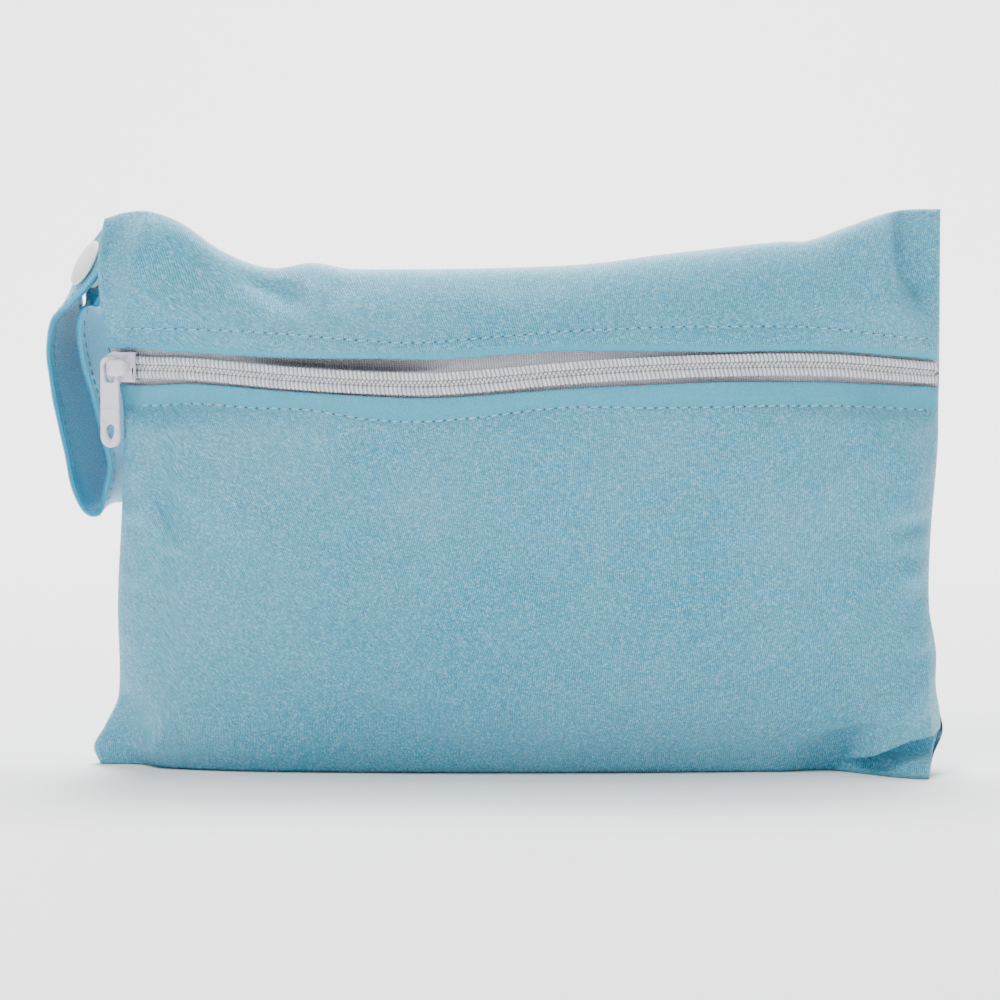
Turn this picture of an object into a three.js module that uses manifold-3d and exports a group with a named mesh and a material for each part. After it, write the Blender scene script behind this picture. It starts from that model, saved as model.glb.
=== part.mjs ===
// Cloth wet bag with a zip, stuffed and standing on its flattened base, and its snap strap at the left seam.
// Millimetres, +Z up, the front looks towards -Y, and the origin lies on the base under the bag's middle.
import * as THREE from "three";
import { mergeVertices } from "three/addons/utils/BufferGeometryUtils.js";
import Module from "manifold-3d";

const wasm = await Module();
wasm.setup();

// Cloth body
const BAG_WIDTH = 205;
const BAG_HEIGHT = 140;
const BAG_DEPTH = 48;
const CLOTH = 1.2;
const GAP = 0.3; // clearance between pieces that touch
const SEAM_GAP = 0.4; // between the front and the back cloth
const BASE_SINK = 2.5; // how far the base would sag below the ground if it weren't flattened
const BASE_SEAM_BACK = 8; // the front cloth wraps under the base as far as this line behind the middle

// Zip
const ZIP_SLOT = 7; // usual opening between the two panel edges
const TAPE = 0.9;
const TAPE_TUCK = 3; // how far each tape reaches behind its panel
const COIL_WIDTH = 2.6;
const COIL_HEIGHT = 1.8;
const ZIP_END_INSET = 0.8; // tape and coil end this far inside the right seam

// Slider, along its own zip direction
const SLIDER_LENGTH = 7.8;
const SLIDER_WIDTH = 7.8;
const SLIDER_PLATE = 1.1;
const SLIDER_INSET = 3.2; // from the left seam to the slider's middle
const CROWN_LENGTH = 5.8;
const CROWN_WIDTH = 4.2;
const CROWN_THICKNESS = 1;
const CROWN_LEG_WIDTH = 1.6;
const CROWN_LEG_LENGTH = 1.1;

// Pull tab
const PULL_LENGTH = 22.5;
const PULL_WIDTH = 5.4;
const PULL_THICKNESS = 1.3;
const PULL_EYE_WIDTH = 3.2;
const PULL_EYE_LENGTH = 5;
const PULL_CLEARANCE = 0.35; // under the crown, and round its leg
const PULL_BAR = 1.3; // material above the eye

// Strap and its snap
const STRAP_WIDTH = 17;
const STRAP_THICKNESS = 1.9;
const STRAP_REACH = 14; // from the bag's left edge to the loop's outermost bend
const STRAP_DROP = 62; // from the snap's height down to the lower bend
const SNAP_BELOW_TOP = 14.7; // the snap's middle below the bag's full height
const STRAP_BEHIND = 9.6; // from the leaning left seam at the snap back to the strap's sewn end
const SNAP_CAP_DIAMETER = 12.4;
const SNAP_CAP_HEIGHT = 1.6;
const SNAP_CORE_DIAMETER = 9.2;
const SNAP_STACK = 2.6; // between the two strap layers

const HALF_DEPTH = BAG_DEPTH / 2;
const SNAP_HEIGHT = BAG_HEIGHT - SNAP_BELOW_TOP;
const LEFT_EDGE = -BAG_WIDTH / 2;

// The left and right seams. up: share of the height. out: outwards, share of the width. back: share of the half depth.
const LEFT_SEAM = [
  { up: 0.0, out: 0.028, back: 0.2 },
  { up: 0.03, out: 0.035, back: 0.2 },
  { up: 0.07, out: 0.02, back: 0.14 },
  { up: 0.13, out: 0.002, back: 0.06 },
  { up: 0.3, out: 0.001, back: 0.0 },
  { up: 0.5, out: -0.006, back: 0.0 },
  { up: 0.65, out: -0.007, back: 0.0 },
  { up: 0.715, out: 0.004, back: 0.0 },
  { up: 0.745, out: 0.009, back: 0.0 },
  { up: 0.79, out: 0.014, back: -0.1 },
  { up: 0.87, out: 0.017, back: -0.36 },
  { up: 0.94, out: 0.014, back: -0.4 },
  { up: 1.0, out: 0.006, back: -0.3 },
];
const RIGHT_SEAM = [
  { up: 0.0, out: -0.018, back: -0.8 },
  { up: 0.04, out: -0.012, back: -0.62 },
  { up: 0.09, out: 0.0, back: -0.3 },
  { up: 0.15, out: -0.003, back: -0.1 },
  { up: 0.21, out: -0.001, back: 0.0 },
  { up: 0.29, out: -0.01, back: 0.0 },
  { up: 0.42, out: -0.009, back: 0.0 },
  { up: 0.6, out: -0.001, back: 0.0 },
  { up: 1.0, out: 0.0, back: 0.05 },
];

// The top fold. across: share of the width. up: share of the height.
const TOP_FOLD = [
  { across: 0.0, up: 0.968 },
  { across: 0.02, up: 0.99 },
  { across: 0.05, up: 0.993 },
  { across: 0.09, up: 0.972 },
  { across: 0.145, up: 0.92 },
  { across: 0.2, up: 0.892 },
  { across: 0.25, up: 0.901 },
  { across: 0.3, up: 0.89 },
  { across: 0.56, up: 0.897 },
  { across: 0.68, up: 0.918 },
  { across: 0.81, up: 0.939 },
  { across: 0.84, up: 0.94 },
  { across: 0.89, up: 0.966 },
  { across: 0.945, up: 0.993 },
  { across: 1.0, up: 0.997 },
];

// The zip. up: the coil's middle line, share of the height. above, below: from it to the panel edges, shares of ZIP_SLOT.
const ZIP_LINE = [
  { across: 0.0, up: 0.717, above: 0.62, below: 0.62 },
  { across: 0.04, up: 0.717, above: 0.61, below: 0.61 },
  { across: 0.1, up: 0.716, above: 0.55, below: 0.5 },
  { across: 0.22, up: 0.702, above: 0.7, below: 0.46 },
  { across: 0.32, up: 0.695, above: 0.84, below: 0.46 },
  { across: 0.4, up: 0.695, above: 0.84, below: 0.46 },
  { across: 0.54, up: 0.712, above: 0.78, below: 0.52 },
  { across: 0.6, up: 0.718, above: 0.66, below: 0.54 },
  { across: 0.72, up: 0.725, above: 0.48, below: 0.57 },
  { across: 0.86, up: 0.724, above: 0.47, below: 0.57 },
  { across: 1.0, up: 0.705, above: 0.47, below: 0.47 },
];

// Flat ears at the corners. wide, high: shares of the width and height, for the front and the back cloth.
const EARS = [
  { side: "left", end: "top", frontWide: 0.035, backWide: 0.085, high: 0.19, soft: 0.45 },
  { side: "right", end: "top", frontWide: 0.055, backWide: 0.05, high: 0.2, soft: 0.3 },
  { side: "left", end: "bottom", frontWide: 0.06, backWide: 0.05, high: 0.12, soft: 0.4 },
  { side: "right", end: "bottom", frontWide: 0.13, backWide: 0.1, high: 0.08, soft: 0.4 },
];

// Main folds, as ridges (+) and grooves (-). Places are shares of the width and height, wide of the width,
// and rise of the half depth.
const FOLDS = [
  { face: "front", from: [0.03, 0.99], to: [0.15, 0.93], wide: 0.035, rise: 0.07 },
  { face: "front", from: [0.14, 0.93], to: [0.23, 0.86], wide: 0.03, rise: -0.09 },
  { face: "front", from: [0.02, 0.6], to: [0.2, 0.42], wide: 0.04, rise: 0.07 },
  { face: "front", from: [0.05, 0.5], to: [0.16, 0.36], wide: 0.035, rise: -0.05 },
  { face: "front", from: [0.94, 0.59], to: [0.79, 0.44], wide: 0.035, rise: 0.07 },
  { face: "front", from: [0.88, 0.62], to: [0.8, 0.51], wide: 0.03, rise: -0.06 },
  { face: "front", from: [0.99, 0.49], to: [0.93, 0.47], wide: 0.025, rise: 0.07 },
  { face: "front", from: [1.0, 0.4], to: [0.93, 0.37], wide: 0.025, rise: -0.06 },
  { face: "front", from: [0.02, 0.22], to: [0.07, 0.05], wide: 0.035, rise: 0.07 },
  { face: "front", from: [0.99, 0.15], to: [0.94, 0.12], wide: 0.03, rise: -0.1 },
  { face: "back", from: [0.04, 0.86], to: [0.22, 0.66], wide: 0.04, rise: -0.07 },
  { face: "back", from: [0.96, 0.84], to: [0.8, 0.62], wide: 0.04, rise: -0.07 },
  { face: "back", from: [0.05, 0.14], to: [0.2, 0.3], wide: 0.04, rise: 0.06 },
  { face: "back", from: [0.94, 0.2], to: [0.8, 0.34], wide: 0.04, rise: -0.06 },
];

// The strap's middle line from its sewn end. out: share of STRAP_REACH beyond the left edge of the upper bag.
// down: share of STRAP_DROP below the snap. back: share of STRAP_WIDTH. turn, tip: its cross direction in degrees,
// turned from straight back towards the bag, and tipped up.
const STRAP_PATH = [
  { out: -0.1, down: -0.09, back: 0.0, turn: -8, tip: 26 },
  { out: 0.2, down: 0.0, back: 0.12, turn: -10, tip: 24 },
  { out: 0.49, down: 0.09, back: 0.25, turn: -6, tip: 20 },
  { out: 0.71, down: 0.19, back: 0.39, turn: 8, tip: 12 },
  { out: 0.77, down: 0.345, back: 0.54, turn: 21, tip: 4 },
  { out: 0.62, down: 0.54, back: 0.61, turn: 26, tip: 2 },
  { out: 0.43, down: 0.75, back: 0.64, turn: 27, tip: 3 },
  { out: 0.28, down: 0.9, back: 0.64, turn: 26, tip: 8 },
  { out: 0.06, down: 0.965, back: 0.63, turn: 25, tip: 12 },
  { out: -0.24, down: 0.91, back: 0.62, turn: 24, tip: 6 },
  { out: -0.37, down: 0.79, back: 0.62, turn: 22, tip: 2 },
  { out: -0.17, down: 0.58, back: 0.59, turn: 22, tip: 2 },
  { out: 0.05, down: 0.39, back: 0.5, turn: 18, tip: 3 },
  { out: 0.17, down: 0.23, back: 0.37, turn: 7, tip: 9 },
];
const SNAP_ROW = 1; // the row of the strap's path that carries the snap

// Curve through a table's rows, with the slope at each row taken from its neighbours.
function follow(rows, key, column, at) {
  const last = rows.length - 1;
  const x = THREE.MathUtils.clamp(at, rows[0][key], rows[last][key]);
  let i = 0;
  while (i < last - 1 && x > rows[i + 1][key]) i += 1;
  const slope = (j) => {
    const a = rows[Math.max(j - 1, 0)];
    const b = rows[Math.min(j + 1, last)];
    return (b[column] - a[column]) / (b[key] - a[key]);
  };
  const span = rows[i + 1][key] - rows[i][key];
  const t = (x - rows[i][key]) / span;
  const rise = rows[i + 1][column] - rows[i][column];
  const start = slope(i) * span - rise;
  const end = rise - slope(i + 1) * span;
  return rows[i][column] + rise * t + t * (1 - t) * (start * (1 - t) + end * t);
}

const smooth = (low, high, value) => THREE.MathUtils.smoothstep(value, low, high);

const SIDE_ROUNDING = 0.42; // power of the swelling across the bag; smaller is blunter at the seams
const ZIP_END_ROUNDING = 0.8; // the stiff zip swells more slowly from the seams
const ZIP_STIFF_BAND = 0.08; // share of the height over which the zip does so
const EDGE_ROUNDING = 0.6; // power of the swelling from the base to the top fold
const LEAN_REACH = 0.1; // share of the width over which a leaning seam draws the cloth with it
const WALL_TURN = 0.2; // swelling by which the wall stands square to the cloth instead of to the seam

const topOf = (across) => BAG_HEIGHT * follow(TOP_FOLD, "across", "up", across);
const zipHeight = (across) => BAG_HEIGHT * follow(ZIP_LINE, "across", "up", across);
const zipEdge = (across, side) => ZIP_SLOT * follow(ZIP_LINE, "across", side, across);
const leftSeamX = (up) => LEFT_EDGE - BAG_WIDTH * follow(LEFT_SEAM, "up", "out", up);
const rightSeamX = (up) => BAG_WIDTH / 2 + BAG_WIDTH * follow(RIGHT_SEAM, "up", "out", up);

// How far the seams' lean moves the cloth at a place, towards the back.
function lean(across, up) {
  const near = (distance) => Math.exp(-((distance / LEAN_REACH) ** 2));
  const left = follow(LEFT_SEAM, "up", "back", up) * near(across);
  const right = follow(RIGHT_SEAM, "up", "back", up) * near(1 - across);
  return HALF_DEPTH * (left + right);
}

// 0 in a corner's flat ear, 1 outside it.
function earSwelling(across, up, face) {
  let swelling = 1;
  for (const ear of EARS) {
    const sideways = ear.side === "left" ? across : 1 - across;
    const endwise = ear.end === "bottom" ? up : 1 - up;
    const distance = Math.hypot(sideways / ear[face + "Wide"], endwise / ear.high);
    swelling *= smooth(1 - ear.soft, 1 + ear.soft, distance);
  }
  return swelling;
}

// How far the base would sag below the ground at a place if it weren't flattened.
function sag(across, face) {
  return BASE_SINK * (4 * across * (1 - across)) ** SIDE_ROUNDING * earSwelling(across, 0, face);
}

// Height of the folds over the smooth cloth.
function foldRise(across, up, face) {
  const flat = BAG_HEIGHT / BAG_WIDTH;
  let rise = 0;
  for (const fold of FOLDS) {
    if (fold.face !== face) continue;
    const run = [fold.to[0] - fold.from[0], (fold.to[1] - fold.from[1]) * flat];
    const place = [across - fold.from[0], (up - fold.from[1]) * flat];
    const length = Math.hypot(...run);
    const along = (place[0] * run[0] + place[1] * run[1]) / length ** 2;
    const aside = (place[0] * run[1] - place[1] * run[0]) / length / fold.wide;
    const beyond = ((along - 0.5) / 0.6) ** 4;
    rise += fold.rise * Math.exp(-(aside ** 2) - beyond);
  }
  return HALF_DEPTH * rise;
}

// One place on the outside of the cloth. turn runs from 0 at the base's middle to 1 at the top fold; it is
// negative on the part of the base that lies behind the middle.
function clothPoint(face, across, turn) {
  const forward = face === "front" ? -1 : 1;
  const swell = 4 * across * (1 - across);
  const height = topOf(across) + sag(across, face);
  const raw = (height * (1 - Math.cos(Math.PI * turn))) / 2 - height + topOf(across);
  const z = Math.max(raw, 0);
  const up = z / BAG_HEIGHT;
  const zipNear = face === "front" ? Math.exp(-(((z - zipHeight(across)) / BAG_HEIGHT / ZIP_STIFF_BAND) ** 4)) : 0;
  const rounding = SIDE_ROUNDING + (ZIP_END_ROUNDING - SIDE_ROUNDING) * zipNear;
  const sides = swell ** rounding * earSwelling(across, up, face);
  const arc = Math.sin(Math.PI * Math.abs(turn)) ** EDGE_ROUNDING;
  const nearBase = 1 - smooth(0.08, 0.25, Math.abs(turn));
  const fullness = sides * Math.max(arc, nearBase);
  const onSide = smooth(0, WALL_TURN, fullness);
  const step = 0.004;
  const steepness = ((lean(across, up + step) - lean(across, up - step)) / (2 * step * BAG_HEIGHT)) ** 2;
  const rim = CLOTH * Math.sqrt(1 + steepness);
  const bulge = HALF_DEPTH * sides * arc * Math.sign(turn) + foldRise(across, up, face) * sides * arc;
  const y = lean(across, up) + forward * (bulge + SEAM_GAP / 2 + rim * (1 - onSide));
  const x = THREE.MathUtils.lerp(leftSeamX(up), rightSeamX(up), across);
  return { point: new THREE.Vector3(x, y, z), onSide, rim, forward };
}

// The direction into the bag at a place on the cloth, for the thickness of a wall.
function inward(face, across, turn) {
  const step = 0.003;
  const at = (a, t) => clothPoint(face, THREE.MathUtils.clamp(a, 0, 1), Math.min(t, 1)).point;
  const alongX = at(across + step, turn).sub(at(across - step, turn));
  const alongTurn = at(across, turn + step).sub(at(across, turn - step));
  const normal = alongX.cross(alongTurn).normalize();
  const here = clothPoint(face, across, turn);
  if (normal.y * here.forward > 0 || normal.z < -0.999) normal.negate();
  if (here.point.z === 0) normal.set(0, 0, 1);
  const straight = new THREE.Vector3(0, -here.forward * (here.rim / CLOTH), 0);
  return straight.lerp(normal, here.onSide);
}

// A place at a given depth behind the outside of the cloth.
function behindCloth(face, across, turn, depth) {
  return clothPoint(face, across, turn).point.addScaledVector(inward(face, across, turn), depth);
}

// The turn at which the cloth reaches a height.
function turnAt(across, z) {
  const height = topOf(across) + sag(across, "front");
  const share = (z + height - topOf(across)) / height;
  return Math.acos(1 - 2 * share) / Math.PI;
}

// The turn of the seam under the base, which fades out towards the corners.
function baseSeamTurn(across) {
  const middle = Math.asin((BASE_SEAM_BACK / HALF_DEPTH) ** (1 / EDGE_ROUNDING)) / Math.PI;
  const fade = (4 * across * (1 - across)) ** SIDE_ROUNDING * earSwelling(across, 0, "front");
  return middle * fade;
}

function geometryOf(positions, triangles) {
  const geometry = new THREE.BufferGeometry();
  geometry.setAttribute("position", new THREE.Float32BufferAttribute(positions, 3));
  geometry.setIndex(triangles);
  return geometry;
}

// Turns the faces of a closed geometry outwards.
function facingOut(geometry) {
  const place = geometry.attributes.position;
  const index = geometry.index.array;
  const [a, b, c] = [new THREE.Vector3(), new THREE.Vector3(), new THREE.Vector3()];
  let volume = 0;
  for (let i = 0; i < index.length; i += 3) {
    a.fromBufferAttribute(place, index[i]);
    b.fromBufferAttribute(place, index[i + 1]);
    c.fromBufferAttribute(place, index[i + 2]);
    volume += a.dot(b.cross(c));
  }
  if (volume < 0) {
    for (let i = 0; i < index.length; i += 3) {
      [index[i + 1], index[i + 2]] = [index[i + 2], index[i + 1]];
    }
  }
  return geometry;
}

// A wall between two grids of points, rows by columns, closed round its rim.
function wallBetween(outer, inner) {
  const rows = outer.length;
  const columns = outer[0].length;
  const positions = [...outer, ...inner].flat().flatMap((p) => [p.x, p.y, p.z]);
  const triangles = [];
  const id = (layer, r, c) => (layer * rows + r) * columns + c;
  const quad = (a, b, c, d) => triangles.push(a, b, c, a, c, d);
  for (let r = 0; r < rows - 1; r += 1) {
    for (let c = 0; c < columns - 1; c += 1) {
      quad(id(0, r, c), id(0, r, c + 1), id(0, r + 1, c + 1), id(0, r + 1, c));
      quad(id(1, r, c), id(1, r + 1, c), id(1, r + 1, c + 1), id(1, r, c + 1));
    }
  }
  for (let c = 0; c < columns - 1; c += 1) {
    quad(id(0, 0, c), id(1, 0, c), id(1, 0, c + 1), id(0, 0, c + 1));
    const r = rows - 1;
    quad(id(0, r, c), id(0, r, c + 1), id(1, r, c + 1), id(1, r, c));
  }
  for (let r = 0; r < rows - 1; r += 1) {
    quad(id(0, r, 0), id(0, r + 1, 0), id(1, r + 1, 0), id(1, r, 0));
    const c = columns - 1;
    quad(id(0, r, c), id(1, r, c), id(1, r + 1, c), id(0, r + 1, c));
  }
  return facingOut(geometryOf(positions, triangles));
}

// A solid through closed sections with as many points each.
function solidThrough(sections) {
  const sides = sections[0].length;
  const positions = sections.flat().flatMap((p) => [p.x, p.y, p.z]);
  const triangles = [];
  for (let s = 0; s < sections.length - 1; s += 1) {
    for (let k = 0; k < sides; k += 1) {
      const next = (k + 1) % sides;
      const [a, b] = [s * sides + k, s * sides + next];
      triangles.push(a, b, b + sides, a, b + sides, a + sides);
    }
  }
  const last = (sections.length - 1) * sides;
  for (let k = 1; k < sides - 1; k += 1) {
    triangles.push(0, k + 1, k);
    triangles.push(last, last + k, last + k + 1);
  }
  return facingOut(geometryOf(positions, triangles));
}

// Shares across the bag, closer together near the seams.
function columnsBetween(from, to, count) {
  const places = [];
  for (let i = 0; i <= count; i += 1) {
    const even = i / count;
    const crowded = (1 - Math.cos(Math.PI * even)) / 2;
    places.push(THREE.MathUtils.lerp(from, to, 0.25 * even + 0.75 * crowded));
  }
  return places;
}

// A cloth panel between two edges, each given as a turn for a place across.
function clothPanel(face, startTurn, endTurn, rows, crowding) {
  const outer = [];
  const inner = [];
  const columns = columnsBetween(0, 1, 33);
  for (let r = 0; r <= rows; r += 1) {
    const share = (r / rows) ** crowding;
    const turns = columns.map((a) => THREE.MathUtils.lerp(startTurn(a), endTurn(a), share));
    outer.push(columns.map((a, c) => clothPoint(face, a, turns[c]).point));
    inner.push(columns.map((a, c) => behindCloth(face, a, turns[c], CLOTH)));
  }
  return wallBetween(outer, inner);
}

const lowerEdgeTurn = (across) => turnAt(across, zipHeight(across) - zipEdge(across, "below"));
const upperEdgeTurn = (across) => turnAt(across, zipHeight(across) + zipEdge(across, "above"));

const TAPE_DEPTH = CLOTH + GAP; // from the outside of the cloth to the tape's face

// The zip's middle line on the tape's face.
function zipPoint(across, rise, depth) {
  return behindCloth("front", across, turnAt(across, zipHeight(across) + rise), depth);
}

const acrossAt = (distance) => distance / BAG_WIDTH;
const sliderMiddle = acrossAt(SLIDER_INSET);
const sliderReach = acrossAt(SLIDER_LENGTH / 2);
const sliderOrigin = zipPoint(sliderMiddle, 0, TAPE_DEPTH);
const sliderAlong = zipPoint(sliderMiddle + sliderReach, 0, TAPE_DEPTH).sub(sliderOrigin).normalize();

// The slider's frame: X along the zip, Y up the tape, Z out of the bag, from the tape's face.
const sliderUp = new THREE.Vector3(0, 0, 1);
sliderUp.addScaledVector(sliderAlong, -sliderUp.dot(sliderAlong)).normalize();
const sliderOut = new THREE.Vector3().crossVectors(sliderAlong, sliderUp);
const sliderFrame = new THREE.Matrix4().makeBasis(sliderAlong, sliderUp, sliderOut).setPosition(sliderOrigin);

const BRIDGE_LENGTH = 1.2;
const BRIDGE_START = -0.26 * SLIDER_LENGTH;
const zipStart = sliderMiddle + acrossAt(BRIDGE_START + BRIDGE_LENGTH + 1.5 * GAP) * sliderAlong.x;
const zipEnd = 1 - acrossAt(ZIP_END_INSET);
const ZIP_STEPS = 36;

// One zip tape, from the coil's middle to behind its panel.
function tape(side) {
  const up = side === "above" ? 1 : -1;
  const outer = [];
  const inner = [];
  const columns = columnsBetween(zipStart, zipEnd, ZIP_STEPS);
  for (const share of [0, 0.5, 1]) {
    const rise = (a) => up * THREE.MathUtils.lerp(GAP / 2, zipEdge(a, side) + TAPE_TUCK, share);
    outer.push(columns.map((a) => zipPoint(a, rise(a), TAPE_DEPTH)));
    inner.push(columns.map((a) => zipPoint(a, rise(a), TAPE_DEPTH + TAPE)));
  }
  return wallBetween(outer, inner);
}

// One row of the zip coil, as an oval rod in front of its tape.
function coil(side) {
  const up = side === "above" ? 1 : -1;
  const corners = 8;
  const sections = columnsBetween(zipStart, zipEnd, ZIP_STEPS).map((a) => {
    const section = [];
    for (let k = 0; k < corners; k += 1) {
      const angle = (2 * Math.PI * (k + 0.5)) / corners;
      const rise = up * (GAP / 2 + (COIL_WIDTH / 2) * (1 + Math.cos(angle)));
      const proud = GAP + (COIL_HEIGHT / 2) * (1 + Math.sin(angle));
      section.push(zipPoint(a, rise, TAPE_DEPTH - proud));
    }
    return section;
  });
  return solidThrough(sections);
}

// Solids for joining and cutting.
function solidOf(geometry) {
  const bare = geometry.clone();
  bare.deleteAttribute("normal");
  bare.deleteAttribute("uv");
  const merged = mergeVertices(bare, 1e-4);
  return new wasm.Manifold(
    new wasm.Mesh({
      numProp: 3,
      vertProperties: merged.attributes.position.array,
      triVerts: new Uint32Array(merged.index.array),
    }),
  );
}

function geometryOfSolid(solid) {
  const mesh = solid.getMesh();
  return geometryOf(Array.from(mesh.vertProperties), Array.from(mesh.triVerts));
}

// A flat outline given bevelled edges, from low to high.
function bevelledPlate(shape, low, high, bevel) {
  const geometry = new THREE.ExtrudeGeometry(shape, {
    depth: high - low - 2 * bevel,
    bevelThickness: bevel,
    bevelSize: bevel,
    bevelOffset: -bevel,
    bevelSegments: 1,
    curveSegments: 7,
  });
  return geometry.translate(0, 0, low + bevel);
}

function boxBetween(low, high) {
  const size = high.map((value, i) => value - low[i]);
  const middle = high.map((value, i) => (value + low[i]) / 2);
  return new THREE.BoxGeometry(...size).translate(...middle);
}

// The slider's plate, broad at its mouth end and waisted before the two small ears of its tail.
function sliderOutline(start) {
  const [half, end] = [SLIDER_WIDTH / 2, SLIDER_LENGTH / 2];
  const shape = new THREE.Shape();
  shape.moveTo(start, -0.62 * half);
  shape.quadraticCurveTo(start + 0.05 * SLIDER_LENGTH, -half, start + 0.3 * SLIDER_LENGTH, -half);
  shape.lineTo(0.5 * end, -0.86 * half);
  shape.lineTo(end, -0.98 * half);
  shape.lineTo(end, 0.98 * half);
  shape.lineTo(0.5 * end, 0.86 * half);
  shape.lineTo(start + 0.3 * SLIDER_LENGTH, half);
  shape.quadraticCurveTo(start + 0.05 * SLIDER_LENGTH, half, start, 0.62 * half);
  shape.closePath();
  return shape;
}

const PLATE_LOW = 2 * GAP + COIL_HEIGHT;
const PLATE_HIGH = PLATE_LOW + SLIDER_PLATE;
const WINDOW_HIGH = PLATE_HIGH + PULL_THICKNESS + 2 * PULL_CLEARANCE;
const CROWN_HIGH = WINDOW_HIGH + CROWN_THICKNESS;
const BACK_HIGH = -TAPE - GAP;
const BACK_LOW = BACK_HIGH - SLIDER_PLATE;
const LIP_INSIDE = GAP / 2 + COIL_WIDTH + GAP;
const LEG_X = -CROWN_LENGTH / 2 + CROWN_LEG_LENGTH / 2;

function sliderBody() {
  const front = bevelledPlate(sliderOutline(-SLIDER_LENGTH / 2), PLATE_LOW, PLATE_HIGH, 0.25);
  const back = bevelledPlate(sliderOutline(BRIDGE_START), BACK_LOW, BACK_HIGH, 0.2);
  const bridgeHalf = BRIDGE_LENGTH / 2;
  const bridge = boxBetween(
    [BRIDGE_START + 0.1, -bridgeHalf, BACK_HIGH - SLIDER_PLATE / 2],
    [BRIDGE_START + BRIDGE_LENGTH, bridgeHalf, PLATE_LOW + SLIDER_PLATE / 2],
  );
  let body = solidOf(front).add(solidOf(back)).add(solidOf(bridge));
  for (const side of [-1, 1]) {
    const edges = [side * LIP_INSIDE, side * 0.94 * (SLIDER_WIDTH / 2)].sort((a, b) => a - b);
    const lip = boxBetween(
      [BRIDGE_START, edges[0], GAP],
      [0.9 * (SLIDER_LENGTH / 2), edges[1], PLATE_LOW + SLIDER_PLATE / 2],
    );
    body = body.add(solidOf(lip));
    const leg = boxBetween(
      [side * LEG_X - CROWN_LEG_LENGTH / 2, -CROWN_LEG_WIDTH / 2, PLATE_LOW + SLIDER_PLATE / 2],
      [side * LEG_X + CROWN_LEG_LENGTH / 2, CROWN_LEG_WIDTH / 2, WINDOW_HIGH + CROWN_THICKNESS / 2],
    );
    body = body.add(solidOf(leg));
  }
  const [long, wide, round] = [CROWN_LENGTH / 2, CROWN_WIDTH / 2, 0.35 * CROWN_WIDTH];
  const bar = new THREE.Shape();
  bar.moveTo(-long + round, -wide);
  bar.lineTo(long - round, -wide);
  bar.quadraticCurveTo(long, -wide, long, -wide + round);
  bar.lineTo(long, wide - round);
  bar.quadraticCurveTo(long, wide, long - round, wide);
  bar.lineTo(-long + round, wide);
  bar.quadraticCurveTo(-long, wide, -long, wide - round);
  bar.lineTo(-long, -wide + round);
  bar.quadraticCurveTo(-long, -wide, -long + round, -wide);
  return geometryOfSolid(body.add(solidOf(bevelledPlate(bar, WINDOW_HIGH, CROWN_HIGH, 0.3))));
}

// The pull tab in the slider's frame, hung on the crown's outer leg, with its eye and its pointed lower hole.
function pullTab() {
  const half = PULL_WIDTH / 2;
  const legRound = Math.hypot(CROWN_LEG_WIDTH, CROWN_LEG_LENGTH) / 2 + PULL_CLEARANCE;
  const top = legRound + PULL_BAR;
  const bottom = top - PULL_LENGTH;
  const shape = new THREE.Shape();
  shape.moveTo(-half, bottom + half);
  shape.absarc(0, bottom + half, half, Math.PI, 2 * Math.PI, false);
  shape.lineTo(0.9 * half, top - 0.62 * half);
  shape.absarc(0.28 * half, top - 0.62 * half, 0.62 * half, 0, Math.PI / 2, false);
  shape.lineTo(-0.28 * half, top);
  shape.absarc(-0.28 * half, top - 0.62 * half, 0.62 * half, Math.PI / 2, Math.PI, false);
  shape.closePath();
  const eye = new THREE.Path();
  const eyeHalf = Math.max(PULL_EYE_WIDTH / 2, legRound);
  const eyeLow = top - PULL_BAR - PULL_EYE_LENGTH;
  eye.absarc(0, 0, eyeHalf, 0, Math.PI, false);
  eye.lineTo(-0.8 * eyeHalf, eyeLow + 0.3 * eyeHalf);
  eye.lineTo(-0.5 * eyeHalf, eyeLow);
  eye.lineTo(0.5 * eyeHalf, eyeLow);
  eye.lineTo(0.8 * eyeHalf, eyeLow + 0.3 * eyeHalf);
  eye.closePath();
  const hole = new THREE.Path();
  const holeHalf = 0.42 * half;
  const holeTop = bottom + 1.08 * PULL_WIDTH;
  hole.moveTo(0, bottom + 0.3 * PULL_WIDTH);
  hole.quadraticCurveTo(holeHalf, bottom + 0.55 * PULL_WIDTH, holeHalf, holeTop - holeHalf);
  hole.absarc(0, holeTop - holeHalf, holeHalf, 0, Math.PI, false);
  hole.quadraticCurveTo(-holeHalf, bottom + 0.55 * PULL_WIDTH, 0, bottom + 0.3 * PULL_WIDTH);
  shape.holes.push(eye, hole);
  const low = PLATE_HIGH + PULL_CLEARANCE;
  return bevelledPlate(shape, low, low + PULL_THICKNESS, 0.2).translate(LEG_X, 0, 0);
}

// Strap
const strapEdge = leftSeamX(SNAP_HEIGHT / BAG_HEIGHT) - GAP;
const strapBack = lean(0, SNAP_HEIGHT / BAG_HEIGHT) + STRAP_BEHIND;
const crossDirection = (turn, tip) => {
  const [a, b] = [THREE.MathUtils.degToRad(turn), THREE.MathUtils.degToRad(tip)];
  return new THREE.Vector3(Math.sin(a) * Math.cos(b), Math.cos(a) * Math.cos(b), Math.sin(b));
};
const strapRows = STRAP_PATH.map((row) => ({
  middle: new THREE.Vector3(
    strapEdge - row.out * STRAP_REACH,
    strapBack + row.back * STRAP_WIDTH,
    SNAP_HEIGHT - row.down * STRAP_DROP,
  ),
  cross: crossDirection(row.turn, row.tip),
}));

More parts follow.
